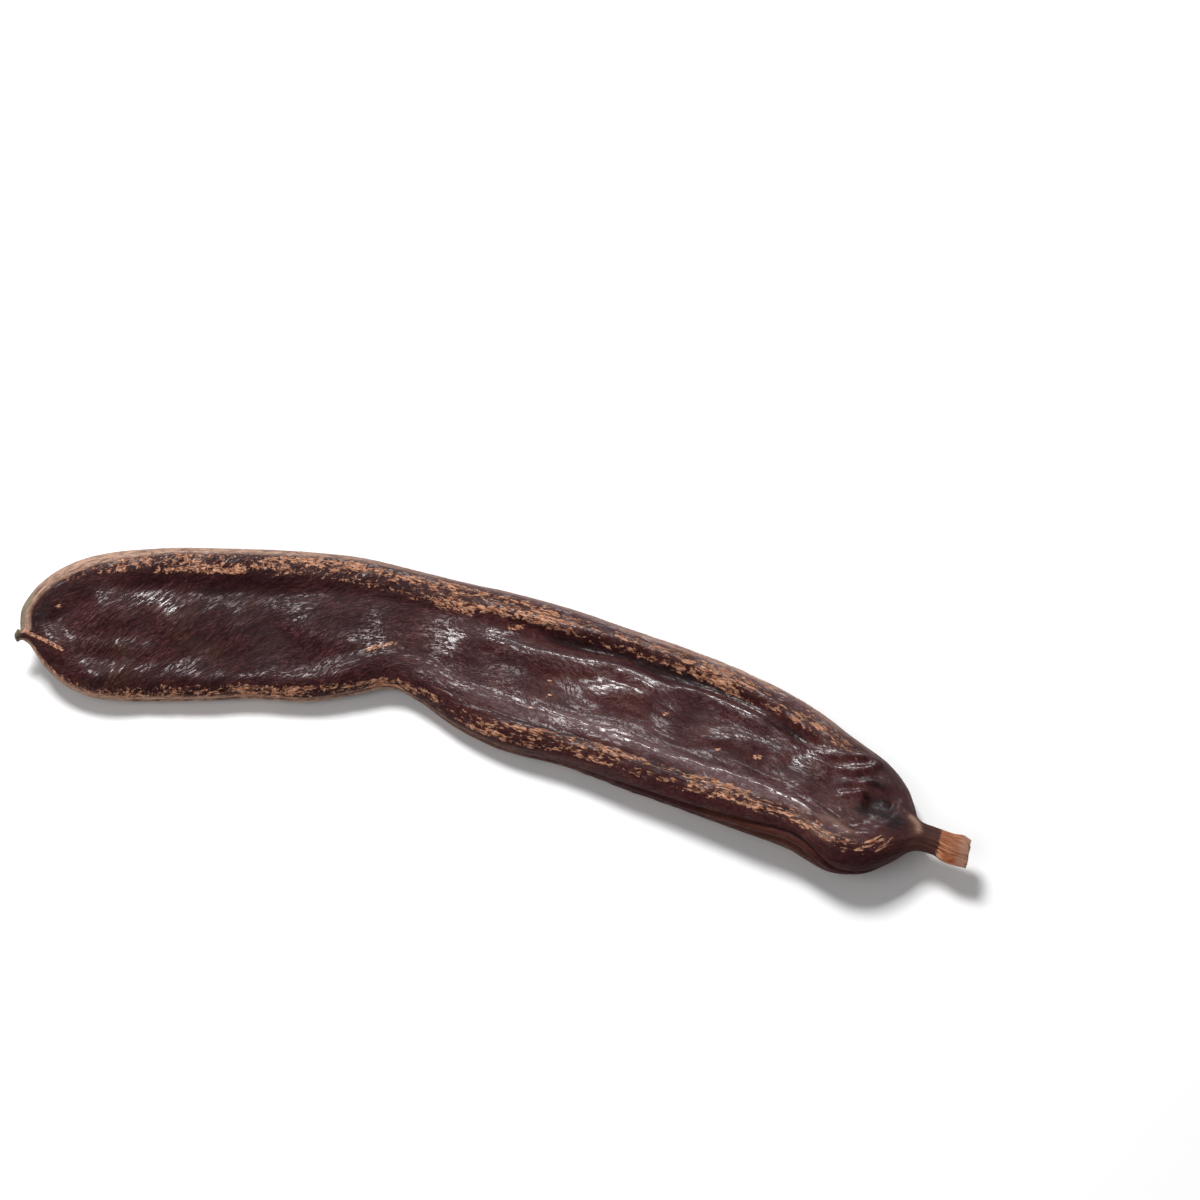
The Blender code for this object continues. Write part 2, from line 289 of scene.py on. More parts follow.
@dataclass
class PodGrid:
    """The pod's surface before its relief, as rings of points, with what relief and marks need."""

    rings: int
    columns: int
    base: Array
    plan: Array
    side: Array
    angle: Array
    on_ventral: Array
    edge_arc: Array
    grown: Array

    def on_valve(self, valve: Valve) -> Array:
        """Say which points lie on one valve."""
        return self.side == valve.value

    @property
    def x(self) -> Array:
        """The points' places along the pod, in plan."""
        return self.plan[:, 0]

    @property
    def on_face(self) -> Array:
        """How far each point is from the outline's edge, from 0 there to 1 on the rim's crest."""
        return np.abs(np.sin(np.radians(self.angle)))


@dataclass
class PodForm:
    """The pod's form, the same as its solid's: outline, bend, rims, folds, seeds and stalk."""

    # Outline, station by station: dorsal x, dorsal y, ventral x, ventral y.
    stations: tuple[Row, ...] = (
        (-89.9, -10.7, -89.4, -13.0),
        (-89.3, -10.8, -88.8, -12.4),
        (-89.8, -9.3, -87.8, -12.6),
        (-90.4, -6.9, -86.9, -13.0),
        (-90.0, -4.4, -85.4, -14.2),
        (-88.7, -1.2, -82.9, -16.1),
        (-86.0, 2.5, -80.0, -17.6),
        (-82.0, 5.8, -76.5, -18.4),
        (-75.8, 8.9, -72.0, -18.4),
        (-66.5, 12.2, -64.5, -16.7),
        (-55.0, 15.2, -54.5, -13.9),
        (-44.0, 18.0, -44.0, -10.8),
        (-34.0, 20.1, -34.0, -8.8),
        (-26.0, 21.0, -26.5, -5.7),
        (-19.0, 21.5, -19.3, -2.3),
        (-12.0, 21.8, -12.8, -3.7),
        (-2.5, 22.3, -5.0, -7.0),
        (8.5, 22.3, 4.5, -9.3),
        (21.0, 21.1, 16.5, -10.0),
        (34.0, 19.9, 29.0, -11.8),
        (47.0, 17.4, 42.5, -13.8),
        (58.3, 14.0, 51.9, -15.3),
        (67.4, 9.4, 60.5, -16.5),
        (75.0, 5.6, 68.8, -19.2),
        (79.5, 1.3, 75.2, -18.1),
        (81.5, -2.3, 79.7, -14.6),
        (82.9, -5.2, 82.6, -11.4),
        (86.0, -6.0, 86.0, -11.1),
        (89.0, -6.5, 88.9, -12.1),
        (92.6, -7.1, 92.6, -12.2),
    )
    # Bend and fullness: x, height of the middle surface, twist in degrees, half-thickness at the
    # dorsal rim, at the ventral rim and at the face.
    spine: tuple[Row, ...] = (
        (-92.0, 8.0, 15.0, 2.3, 2.4, 2.1),
        (-84.0, 7.6, 16.0, 2.7, 3.0, 2.4),
        (-70.0, 6.9, 17.0, 3.2, 3.5, 2.8),
        (-50.0, 6.6, 16.0, 3.5, 3.8, 3.0),
        (-30.0, 5.95, 12.0, 3.7, 4.0, 3.0),
        (-10.0, 4.75, 5.0, 3.8, 4.2, 3.0),
        (10.0, 4.25, 0.0, 3.8, 4.4, 3.0),
        (30.0, 4.65, -5.0, 3.8, 4.5, 3.1),
        (50.0, 5.25, -8.0, 3.8, 4.5, 3.1),
        (66.0, 5.9, -10.0, 3.6, 4.5, 3.0),
        (76.0, 6.5, -10.0, 3.3, 4.0, 2.9),
        (84.0, 6.9, -8.0, 2.8, 2.8, 2.6),
        (93.0, 7.0, -6.0, 3.1, 3.1, 3.1),
    )
    rim_round: float = 4.0
    rim_slope: float = 3.2
    dorsal_flat: tuple[Row, ...] = (
        (-92.0, 0.2), (-60.0, 0.5), (-20.0, 1.2), (20.0, 1.8), (60.0, 2.2), (93.0, 1.5))
    ventral_flat: float = 0.4
    # Angle of the ventral suture round the rim, towards the upper valve: x, degrees.
    suture: tuple[Row, ...] = (
        (-92.0, 0.0), (-30.0, 6.0), (-15.0, 0.0), (30.0, -2.0), (42.0, 6.0), (54.0, 24.0), (64.0, 27.0),
        (71.0, -8.0), (84.0, -10.0))
    suture_groove: float = 0.70
    suture_second: float = 0.45
    suture_apart: float = 26.0
    suture_wide: float = 8.0
    dorsal_seam: float = 0.25
    dorsal_seam_wide: float = 8.0
    upper_folds: tuple[Fold, ...] = (
        # The valley inside the dorsal rim, that rim's inner ridge and the groove on it.
        Fold(-1.20, 1.7, ((-8, 14.2), (9, 14.2), (25, 13.2), (41, 10.8), (50, 8.2), (58, 4.9), (65, 2.6))),
        Fold(0.75, 1.1, ((-12, 17.0), (0, 16.8), (13, 16.3), (26, 16.0), (41, 13.6), (51, 10.4), (60, 6.4),
                         (67, 3.9))),
        Fold(-0.50, 0.9, ((-14, 18.9), (0, 19.0), (20, 18.8), (36, 16.5), (49, 13.3), (60, 9.6),
                          (68, 6.4))),
        # The long glossy ridge, which ends in a loop.
        Fold(1.15, 2.0, ((-14, 9.4), (-4, 10.8), (3, 9.4), (11, 9.6), (22, 10.4), (31, 8.4), (39, 8.8),
                         (48, 7.2), (54, 5.0), (60, 1.8))),
        Fold(0.60, 0.8, ((57, 2.8), (65, 2.6), (70, 3.7), (74.8, 3.7))),
        Fold(0.75, 0.9, ((57, 1.8), (64, 0.2), (68, 0.2), (72, 1.7), (73.8, 4.6))),
        # The folds and the hollow before the stalk.
        Fold(0.60, 0.8, ((66, -2.2), (70, -2.0), (73.5, -1.0), (77, -2.4))),
        Fold(0.50, 0.7, ((67, -5.8), (70, -4.4), (73, -2.9))),
        Fold(-1.00, 2.0, ((71.5, -5.4), (75.5, -5.2), (78.5, -5.8))),
        # Ridges and a hollow along the middle.
        Fold(0.70, 1.7, ((16, 4.0), (24, 5.4), (31, 5.8), (38, 3.2))),
        Fold(0.70, 1.5, ((40, 1.2), (47, 1.2), (53, 0.9), (58, -1.2))),
        Fold(-0.55, 1.6, ((12, 1.0), (28, 1.0), (40, -2.0), (52, -3.8), (62, -6.0))),
        # The soft ridge beside the ventral rim, and the valley between them.
        Fold(0.85, 1.5, ((-13, 1.8), (-2, -0.3), (14, -2.2), (26, -4.2), (39, -6.0), (50, -7.3),
                         (59, -9.2), (65, -10.6), (72, -10.2))),
        Fold(-0.75, 1.0, ((-10, -1.8), (0, -3.4), (14, -4.8), (26, -6.8), (40, -8.4), (51, -9.9),
                          (59, -11.8), (65, -13.4), (72, -13.0))),
        # The ridge and the hollows at the style.
        Fold(0.45, 1.8, ((-86, -11.6), (-80, -11.0), (-70, -8.6), (-58, -6.6))),
        Fold(-0.60, 1.7, ((-85, -8.6), (-82, -5.6), (-77, -0.6))),
        Fold(-0.50, 1.4, ((-82, -14.4), (-78.5, -15.6))),
        # Long hollows beside both rims towards the tip, and the low folds between them.
        Fold(-0.60, 1.9, ((-77, -0.6), (-70, 3.0), (-58, 5.6), (-42, 9.6), (-28, 12.8))),
        Fold(-0.50, 1.6, ((-66, -12.4), (-50, -7.6), (-36, -3.8), (-26, -0.6))),
        Fold(0.60, 1.8, ((-76.5, -14.6), (-73.5, -15.2), (-71, -16.0))),
        Fold(0.45, 1.1, ((-71.5, -7.0), (-68.4, -11.0), (-68.6, -15.0))),
        Fold(0.40, 1.8, ((-46, 6.0), (-36, 3.0), (-24, 3.6), (-16, 6.0))),
    )
    lower_folds: tuple[Fold, ...] = (
        Fold(-0.80, 1.8, ((-70, 3.0), (-48, 7.4), (-26, 12.6), (0, 13.8), (28, 12.8), (50, 7.8),
                          (66, 2.4))),
        Fold(0.75, 2.0, ((-74, -4.0), (-52, -2.0), (-30, 5.4), (-10, 7.6), (14, 5.0), (34, 6.4),
                         (56, 1.6), (70, -3.0))),
        Fold(-0.65, 1.4, ((-70, -12.0), (-46, -5.4), (-22, 1.6), (0, -1.2), (24, -4.0), (46, -7.6),
                          (62, -10.0))),
        Fold(0.50, 1.4, ((-20, 4.4), (2, 1.8), (26, -0.6), (48, -3.8), (64, -6.2))),
        Fold(0.50, 0.9, ((60, 1.4), (70, -1.0), (77, -4.0))),
        Fold(0.45, 0.8, ((62, -8.6), (70, -8.4), (77, -7.0))),
        Fold(-0.70, 2.0, ((68, -4.8), (75, -5.6))),
    )
    fold_fade: float = 0.22
    # Seeds that lift both valves: x, y of each middle, lift.
    seeds: tuple[Row, ...] = (
        (-77.0, -4.8, 0.75), (-63.0, -2.2, 0.70), (-49.5, 1.4, 0.75), (-36.5, 6.0, 0.70),
        (-23.5, 8.6, 0.65), (-9.0, 6.6, 0.60), (5.5, 7.0, 0.45), (20.0, 7.6, 0.35), (34.5, 5.4, 0.30),
        (48.5, 2.0, 0.30), (61.0, -3.4, 0.25))
    seed_long: float = 4.6
    seed_wide: float = 3.4
    wave: Ripple = Ripple(0.30, 11.0, 0.0)
    stalk_from: float = 82.0
    body_fade: float = 5.0
    style_fade: float = 8.0
    stalk_flutes: int = 5
    stalk_flute: float = 0.16
    stalk_flute_fade: float = 6.0
    stalk_nub: Row = (91.2, -6.4)
    stalk_nub_high: float = 0.8
    stalk_nub_wide: float = 1.1
    ring_step: float = 0.425
    ring_least: int = 5
    upper_columns: int = 120
    lower_columns: int = 84
    rim_crowd: float = 0.30
    outline_steps: int = 12
    flow_width: float = 15.0

    def ring_places(self) -> Array:
        """Say where the rings stand.

        Returns:
            Their places, counted in stations.
        """
        rows = np.array(self.stations)
        middles = (rows[:, 0:2] + rows[:, 2:4]) / 2
        places: list[float] = []
        for number, length in enumerate(np.linalg.norm(np.diff(middles, axis=0), axis=1)):
            count = max(self.ring_least, round(length / self.ring_step))
            places.extend(number + np.arange(count) / count)
        places.append(len(rows) - 1)
        return np.array(places, dtype=float)

    def edges(self, places: Array) -> tuple[Array, Array]:
        """Find the dorsal and the ventral edge in plan.

        Args:
            places: Places along the stations.

        Returns:
            The two edges' points.
        """
        rows = smooth_through(range(len(self.stations)), self.stations, places)
        return rows[:, 0:2], rows[:, 2:4]

    def turns(self) -> Array:
        """Turn round a ring from the middle of the lower valve, over the ventral edge, back to it.

        Returns:
            The angles, from 0 at the ventral edge to half a turn at the dorsal edge.
        """
        lower = math.pi * np.arange(self.lower_columns) / self.lower_columns
        upper = math.pi * np.arange(self.upper_columns) / self.upper_columns
        half = self.lower_columns // 2
        turn = np.concatenate((lower[half:] - math.pi, upper, lower[:half] + math.pi))
        return turn - self.rim_crowd * np.sin(turn)

    def half_thickness(self, edge_away: Array, across: Array, half_width: Array, x: Array
                       ) -> tuple[Array, Array]:
        """Find the height over the middle surface: a round rim, its slope and the sunken face.

        Args:
            edge_away: Distances in plan to the nearer edge.
            across: Places across the pod, from -1 at the ventral edge to 1 at the dorsal edge.
            half_width: The pod's half-width there.
            x: Places along the pod.

        Returns:
            The heights, and the angles round the rim in degrees.
        """
        dorsal = smooth_step((across + 1.0) / 2.0)
        rim = column(self.spine, 4, x) * (1 - dorsal) + column(self.spine, 3, x) * dorsal
        flat = self.ventral_flat * (1 - dorsal) + column(self.dorsal_flat, 1, x) * dorsal
        rim = soft_least(rim, half_width)
        face = np.minimum(column(self.spine, 5, x), rim)
        inward = soft_least(np.full(len(x), self.rim_round), half_width)
        turned = np.clip(1.0 - edge_away / inward, 0.0, 1.0)
        on_rim = rim * np.sqrt(1.0 - turned**2)
        sunk = smooth_step((edge_away - inward - flat) / self.rim_slope)
        return on_rim - (rim - face) * sunk, np.degrees(np.arccos(turned))

    def grid(self) -> PodGrid:
        """Lay out the rings of points before their relief.

        Returns:
            The pod's points.
        """
        places = self.ring_places()
        dorsal, ventral = self.edges(places)
        turn = self.turns()
        columns = len(turn)
        centre = (dorsal + ventral) / 2
        reach = (dorsal - ventral) / 2
        across = np.tile(-np.cos(turn), len(places))
        side = np.tile(np.sign(np.round(np.sin(turn), 6)), len(places))
        plan = np.repeat(centre, columns, axis=0) + across[:, None] * np.repeat(reach, columns, axis=0)
        last = len(self.stations) - 1
        dorsal_line, ventral_line = self.edges(np.linspace(0, last, self.outline_steps * last + 1))
        to_dorsal, _ = way_to_line(plan, dorsal_line)
        to_ventral, _ = way_to_line(plan, ventral_line)
        edge_away = np.minimum(to_dorsal, to_ventral)
        half_width = np.repeat(np.linalg.norm(reach, axis=1), columns)
        height, angle = self.half_thickness(edge_away, across, half_width, plan[:, 0])
        height = height * side
        station_x = np.repeat(centre[:, 0], columns)
        twist = np.radians(column(self.spine, 2, station_x))
        aside = plan[:, 1] - np.repeat(centre[:, 1], columns)
        base = np.empty((len(plan), 3))
        base[:, 0] = plan[:, 0]
        base[:, 1] = plan[:, 1] - np.sin(twist) * height
        base[:, 2] = column(self.spine, 1, station_x) + np.tan(twist) * aside + np.cos(twist) * height
        steps = np.linalg.norm(np.diff(centre, axis=0), axis=1)
        along = np.repeat(np.concatenate(([0.0], np.cumsum(steps))), columns)
        grown = np.stack((along, across * self.flow_width, height), axis=1)
        edge_arc = self.rim_round * np.radians(angle) + np.maximum(edge_away - self.rim_round, 0.0)
        return PodGrid(len(places), columns, base, plan, side, angle * side, to_ventral <= to_dorsal,
                       edge_arc * side, grown)

    def body(self, grid: PodGrid) -> Array:
        """Say how much of each point is the pod's body, and not the stalk or the style.

        Args:
            grid: The pod's points.

        Returns:
            1 on the body, falling to 0 towards both ends.
        """
        from_stalk = 1.0 - smooth_step((grid.x - self.stalk_from + self.body_fade) / self.body_fade)
        return from_stalk * smooth_step((grid.x - self.stations[2][0]) / self.style_fade)

    def folds(self, plan: Array, folds: tuple[Fold, ...]) -> Array:
        """Add up how far one valve's folds lift or lower its points.

        Args:
            plan: The points in plan.
            folds: The valve's folds.

        Returns:
            The lift of each point.
        """
        relief = np.zeros(len(plan))
        for height, width, points in folds:
            line = line_through(points)
            near = near_line(plan, line, 3 * width)
            away, share = way_to_line(plan[near], line)
            risen = smooth_step(share / self.fold_fade) * smooth_step((1.0 - share) / self.fold_fade)
            relief[near] += height * risen * np.exp(-((away / width) ** 2))
        return relief

    def seed_lift(self, plan: Array) -> Array:
        """Say how far the seeds lift each point.

        Args:
            plan: The points in plan.

        Returns:
            The lift of each point.
        """
        relief = np.zeros(len(plan))
        for x, y, lift in self.seeds:
            along = (plan[:, 0] - x) / self.seed_wide
            across = (plan[:, 1] - y) / self.seed_long
            relief += lift * np.exp(-(along**2) - across**2)
        return relief

    def groove(self, angle: Array, middle: Array | float, width: float) -> Array:
        """Say a groove's share of its full depth at each angle round a rim."""
        return np.exp(-(((angle - middle) / width) ** 2))

    def relief(self, grid: PodGrid) -> Array:
        """Find the solid's own relief at each point.

        Args:
            grid: The pod's points.

        Returns:
            Millimetres outward.
        """
        body = self.body(grid)
        tables = ((Valve.UPPER, self.upper_folds), (Valve.LOWER, self.lower_folds))
        folds = sum(self.folds(grid.plan, table) * grid.on_valve(valve) for valve, table in tables)
        relief = (folds + self.seed_lift(grid.plan) + uneven(grid.base, self.wave)) * body * grid.on_face
        suture = column(self.suture, 1, grid.x)
        main = self.suture_groove * self.groove(grid.angle, suture, self.suture_wide)
        second = self.suture_second * self.groove(grid.angle, suture - self.suture_apart, self.suture_wide)
        seam = self.dorsal_seam * self.groove(grid.angle, 0.0, self.dorsal_seam_wide)
        relief -= np.where(grid.on_ventral, main + second, seam) * body
        around = np.radians(np.where(grid.on_ventral, grid.angle, 180.0 - grid.angle))
        grown = smooth_step((grid.x - self.stalk_from) / self.stalk_flute_fade)
        relief += self.stalk_flute * np.cos(self.stalk_flutes * around) * grown
        nub_away = np.linalg.norm(grid.plan - np.array(self.stalk_nub), axis=1)
        nub = self.stalk_nub_high * np.exp(-((nub_away / self.stalk_nub_wide) ** 2))
        return relief + nub * grid.on_valve(Valve.UPPER)


def laid(grid: PodGrid, stroke: Stroke) -> Array:
    """Lay a stroke on the upper valve.

    Args:
        grid: The pod's points.
        stroke: The stroke; its width is where its strength has fallen to about a third.

    Returns:
        Its strength at each point, falling softly to 0 beside its line.
    """
    line = line_through(stroke.points)
    near = near_line(grid.plan, line, 3 * stroke.width)
    away, _ = way_to_line(grid.plan[near], line)
    share = np.zeros(len(grid.plan))
    share[near] = np.exp(-((away / stroke.width) ** 2))
    return stroke.strength * share * grid.on_valve(Valve.UPPER)


@dataclass
class FineSkin:
    """The relief that is finer than the solid's: wrinkles along the pod, cork and stalk fibres."""

    # How lively the wrinkles are along the pod: x, share.
    lively: tuple[Row, ...] = (
        (-92.0, 0.45), (-60.0, 0.50), (-20.0, 0.6), (0.0, 1.0), (60.0, 1.1), (90.0, 1.0))
    folds: Ripple = Ripple(0.28, (19.0, 3.3, 3.3), 3.7)
    creases: Ripple = Ripple(0.13, (8.0, 1.6, 1.6), 11.3)
    ripples: Ripple = Ripple(0.055, (2.6, 0.95, 0.95), 23.1)
    cork: Ripple = Ripple(0.13, (2.2, 1.2, 1.2), 31.9)
    fibres: Ripple = Ripple(0.22, (7.0, 2.4, 2.4), 47.3)
    # How much of the wrinkles the pod's very edge still has.
    edge_share: float = 0.25
    # Narrow crests: on the long ridge, on its near shoulder and on the folds before the stalk.
    crests: tuple[Stroke, ...] = (
        Stroke(0.42, 1.5, ((20, 10.2), (31, 8.6), (39, 8.8), (47, 7.4), (53, 5.4), (58, 2.6))),
        Stroke(0.50, 1.3, ((43, 6.6), (50, 5.0), (55, 2.8), (60.4, -1.1), (63.5, -2.4))),
        Stroke(0.40, 1.2, ((23, 8.8), (28.7, 7.2), (33, 7.2))),
        Stroke(0.40, 0.9, ((61.8, -12.3), (65.7, -12.1), (68.2, -11.9), (70.8, -13.7))),
        Stroke(0.35, 1.0, ((80.6, -5.8), (82.5, -7.6), (83.2, -9.4))),
    )
    # Low pads over the seeds, and beside them.
    pads: tuple[Stroke, ...] = (
        Stroke(0.55, 3.4, ((-74.0, -2.6), (-71.5, -3.2))),
        Stroke(0.45, 3.0, ((-62.0, -1.2), (-60.0, -1.4))),
        Stroke(0.45, 2.8, ((-57.2, -10.6), (-54.6, -10.0))),
        Stroke(0.45, 2.4, ((-71.4, -15.6), (-69.4, -15.8))),
        Stroke(0.45, 3.0, ((-21.4, 5.6), (-19.0, 5.2))),
    )

    def relief(self, grid: PodGrid, flow: Array, cork: Array, body: Array) -> Array:
        """Find the fine relief at each point.

        Args:
            grid: The pod's points.
            flow: The points along and across the skin's strokes.
            cork: How much cork lies on each point.
            body: How much of each point is the pod's body.

        Returns:
            Millimetres outward.
        """
        lively = column(self.lively, 1, grid.x) * body
        sharp = np.abs(noise_at(flow, self.creases.size, self.creases.seed))
        creases = self.creases.high * (2.0 * sharp - 0.5)
        wrinkles = uneven(flow, self.folds) + creases + uneven(flow, self.ripples)
        on_face = self.edge_share + (1.0 - self.edge_share) * grid.on_face**2
        rough = uneven(grid.grown, self.cork) * cork
        fibres = uneven(grid.grown, self.fibres) * (1.0 - body)
        crests = sum(laid(grid, stroke) for stroke in self.crests + self.pads)
        return wrinkles * lively * on_face + rough + fibres + crests


@dataclass
class SkinMarks:
    """Where the skin's colours and finishes lie, as soft masks over the pod's points."""

    # Bands of cork flecks: x, from and to in millimetres from the outline, density.
    dorsal_flecks: tuple[Row, ...] = (
        (-92.0, 3.2, 4.8, 0.0), (-86.0, 3.8, 6.4, 0.6), (-80.0, 3.7, 6.8, 0.9), (-70.0, 3.3, 7.8, 1.0),
        (-42.0, 3.5, 8.4, 1.0), (-13.0, 3.7, 9.4, 1.0), (6.0, 4.2, 9.6, 1.0), (24.0, 4.2, 9.6, 1.0),
        (40.0, 4.2, 9.8, 1.0), (58.7, 3.6, 9.4, 0.95), (67.3, 4.8, 8.8, 0.8), (76.0, 4.4, 6.4, 0.5),
        (84.0, 4.0, 5.0, 0.0), (92.0, 4.0, 5.0, 0.0))
    ventral_flecks: tuple[Row, ...] = (
        (-92.0, 1.6, 3.0, 0.6), (-78.0, 1.4, 4.0, 0.9), (-69.0, 1.5, 4.9, 1.0), (-48.0, 0.9, 4.5, 1.0),
        (-30.0, 0.4, 4.4, 1.0), (-20.7, 0.2, 3.6, 1.0), (-8.6, 0.9, 4.2, 1.0), (3.0, 1.8, 6.0, 1.0),
        (16.0, 2.0, 7.2, 1.0), (31.0, 2.6, 7.6, 1.0), (46.0, 3.2, 8.2, 1.0), (58.0, 3.8, 8.0, 1.0),
        (68.0, 3.8, 7.6, 1.0), (73.0, 3.4, 7.0, 1.0), (78.0, 3.0, 6.4, 0.9), (81.5, 2.8, 5.4, 0.3),
        (84.0, 3.0, 5.0, 0.0), (92.0, 3.5, 5.0, 0.0))
    # Smooth tan outer bands of the rims: x, from and to, strength.
    dorsal_tan: tuple[Row, ...] = (
        (-92.0, 0.8, 4.2, 0.8), (-82.0, 1.2, 4.8, 0.95), (-76.0, 1.2, 4.5, 0.95), (-70.0, 1.2, 4.0, 0.9),
        (-42.0, 1.2, 3.6, 0.8), (-27.0, 1.4, 3.4, 0.55), (-13.0, 1.4, 3.4, 0.4), (20.0, 1.8, 3.8, 0.45),
        (36.0, 1.8, 4.4, 0.8), (55.0, 1.8, 4.0, 0.75), (63.0, 2.0, 4.2, 0.4), (76.0, 2.5, 4.0, 0.0),
        (92.0, 2.5, 4.0, 0.0))
    ventral_tan: tuple[Row, ...] = (
        (-92.0, 0.0, 2.2, 0.8), (-80.0, 0.2, 2.5, 1.0), (-60.0, 0.0, 2.2, 1.0), (-30.0, 0.0, 1.3, 0.9),
        (-12.0, 0.0, 0.8, 0.6), (0.0, 0.0, 1.2, 0.25), (16.0, 0.5, 2.0, 0.1), (92.0, 0.0, 1.0, 0.0))
    # The outer band of the dorsal rim and the soft ridge beside the ventral rim: a pale dusting, partly
    # painted sheen.
    dorsal_dust_sheen: tuple[Row, ...] = (
        (-92.0, 0.5, 2.0, 0.3), (-38.0, 0.5, 3.6, 0.4), (-20.0, 0.5, 4.0, 0.9), (30.0, 0.5, 4.4, 1.0),
        (66.0, 0.5, 5.0, 0.9), (76.0, 0.5, 4.0, 0.4), (92.0, 0.5, 4.0, 0.2))
    ventral_dust_sheen: tuple[Row, ...] = (
        (-92.0, 6.0, 8.0, 0.0), (-18.0, 6.0, 8.5, 0.2), (-2.0, 7.8, 10.4, 0.8), (26.0, 8.2, 11.2, 0.9),
        (49.0, 7.6, 10.6, 0.8), (66.0, 7.0, 9.6, 0.6), (76.0, 6.0, 8.0, 0.0), (92.0, 6.0, 8.0, 0.0))
    flecks_soft: float = 2.0
    halo_soft: float = 7.0
    halo_density: float = 0.42
    tan_soft: float = 1.1
    dust_sheen_soft: float = 2.2
    # The cork's grain is stretched along the rim, more so towards the stalk: x, share.
    cork_stretch: tuple[Row, ...] = (
        (-92.0, 0.85), (-50.0, 0.75), (-10.0, 0.50), (30.0, 0.38), (92.0, 0.40))
    # Slope of the skin's fine strokes against the pod's length: x, slope.
    stroke_slope: tuple[Row, ...] = (
        (-92.0, -0.7), (-60.0, -0.8), (-35.0, -0.6), (-15.0, -0.2), (5.0, 0.0), (40.0, 0.1), (92.0, 0.0))
    # How strong the fine strokes are along the pod: x, share.
    stroke_strength: tuple[Row, ...] = (
        (-92.0, 1.0), (-22.0, 1.0), (-4.0, 0.85), (12.0, 0.68), (50.0, 0.64), (92.0, 0.7))
    stroke_swirl: Ripple = Ripple(3.0, 13.0, 5.2)
    # Steps in which slopes and stretches are added up along the pod, and a shift that gives each rim its
    # own cork.
    run_steps: int = 400
    ventral_shift: float = 40.0
    # The rusty stretch of the ventral edge: x, share.
    rust_band: tuple[Row, ...] = (
        (34.0, 0.0), (40.0, 0.3), (50.0, 0.9), (62.0, 1.0), (68.0, 0.5), (74.0, 0.0))
    rust_wide: float = 1.6
    rust_soft: float = 0.8
    orange: tuple[Stroke, ...] = (
        # The vein from the style, the streak and the patch at the bend, the chip and the specks.
        Stroke(0.8, 0.36, ((-88.2, -10.8), (-85.5, -11.2), (-83.9, -11.4), (-82.1, -11.8), (-80.2, -12.3))),
        Stroke(0.6, 0.6, ((-24.9, 2.7), (-22.5, 3.8), (-20.2, 5.0))),
        Stroke(0.45, 1.4, ((-14.5, 15.4), (-11.2, 15.4), (-8.6, 15.2))),
        Stroke(0.8, 0.38, ((-0.4, 14.2), (1.9, 14.8))),
        Stroke(0.9, 0.32, ((-83.6, -4.6), (-83.3, -4.4))),
        Stroke(0.7, 0.30, ((9.7, 5.2), (10.0, 5.4))),
        Stroke(0.7, 0.30, ((10.3, 2.0), (10.7, 2.3))),
        Stroke(0.7, 0.30, ((7.7, -1.5), (8.3, -1.6))),
        Stroke(0.7, 0.32, ((32.5, 3.1), (33.0, 3.3))),
        Stroke(0.7, 0.30, ((43.7, -1.6), (44.1, -1.4))),
        Stroke(0.7, 0.50, ((50.9, -1.6), (51.7, -1.4))),
    )
    olive: tuple[Stroke, ...] = (
        Stroke(0.5, 1.6, ((-70.6, -7.0), (-68.4, -10.0), (-68.3, -14.4))),
        Stroke(0.6, 1.5, ((-59.6, -3.4), (-56.4, -4.6), (-52.6, -4.6))),
        Stroke(0.5, 1.3, ((-62.0, -1.0), (-59.0, 1.5))),
        Stroke(0.5, 1.4, ((-44.0, -2.0), (-41.5, 0.5))),
    )
    # Painted shade: dark hollows in the loop and before the stalk, and soft dark spots at the style end.
    painted_shade: tuple[Stroke, ...] = (
        Stroke(0.9, 1.4, ((72.5, -4.2), (74.8, -5.0), (77.6, -7.1))),
        Stroke(1.0, 2.5, ((72.4, -7.1), (75.2, -7.1), (78.8, -8.4))),
        Stroke(0.8, 1.5, ((77.2, -8.2), (78.4, -10.2))),
        Stroke(0.9, 0.9, ((70.3, -0.5), (72.8, -1.4), (75.0, -1.8))),
        Stroke(0.9, 1.9, ((-86.4, -9.4), (-86.5, -7.6), (-85.7, -5.0))),
        Stroke(0.7, 1.6, ((-83.4, -13.6), (-80.0, -15.8))),
        Stroke(0.75, 1.4, ((-72.4, -16.6), (-71.0, -14.6))),
    )
    # Pale strokes: a painted highlight on the folds before the stalk, and the stalk's own pale collar.
    pale: tuple[Stroke, ...] = (
        Stroke(0.45, 0.9, ((65.7, -12.1), (68.2, -11.9), (70.8, -13.7))),
        Stroke(0.30, 1.0, ((61.8, -12.3), (64.2, -14.4), (67.9, -15.9))),
        Stroke(1.0, 0.6, ((81.2, -6.4), (82.5, -7.4), (83.0, -8.6))),
    )
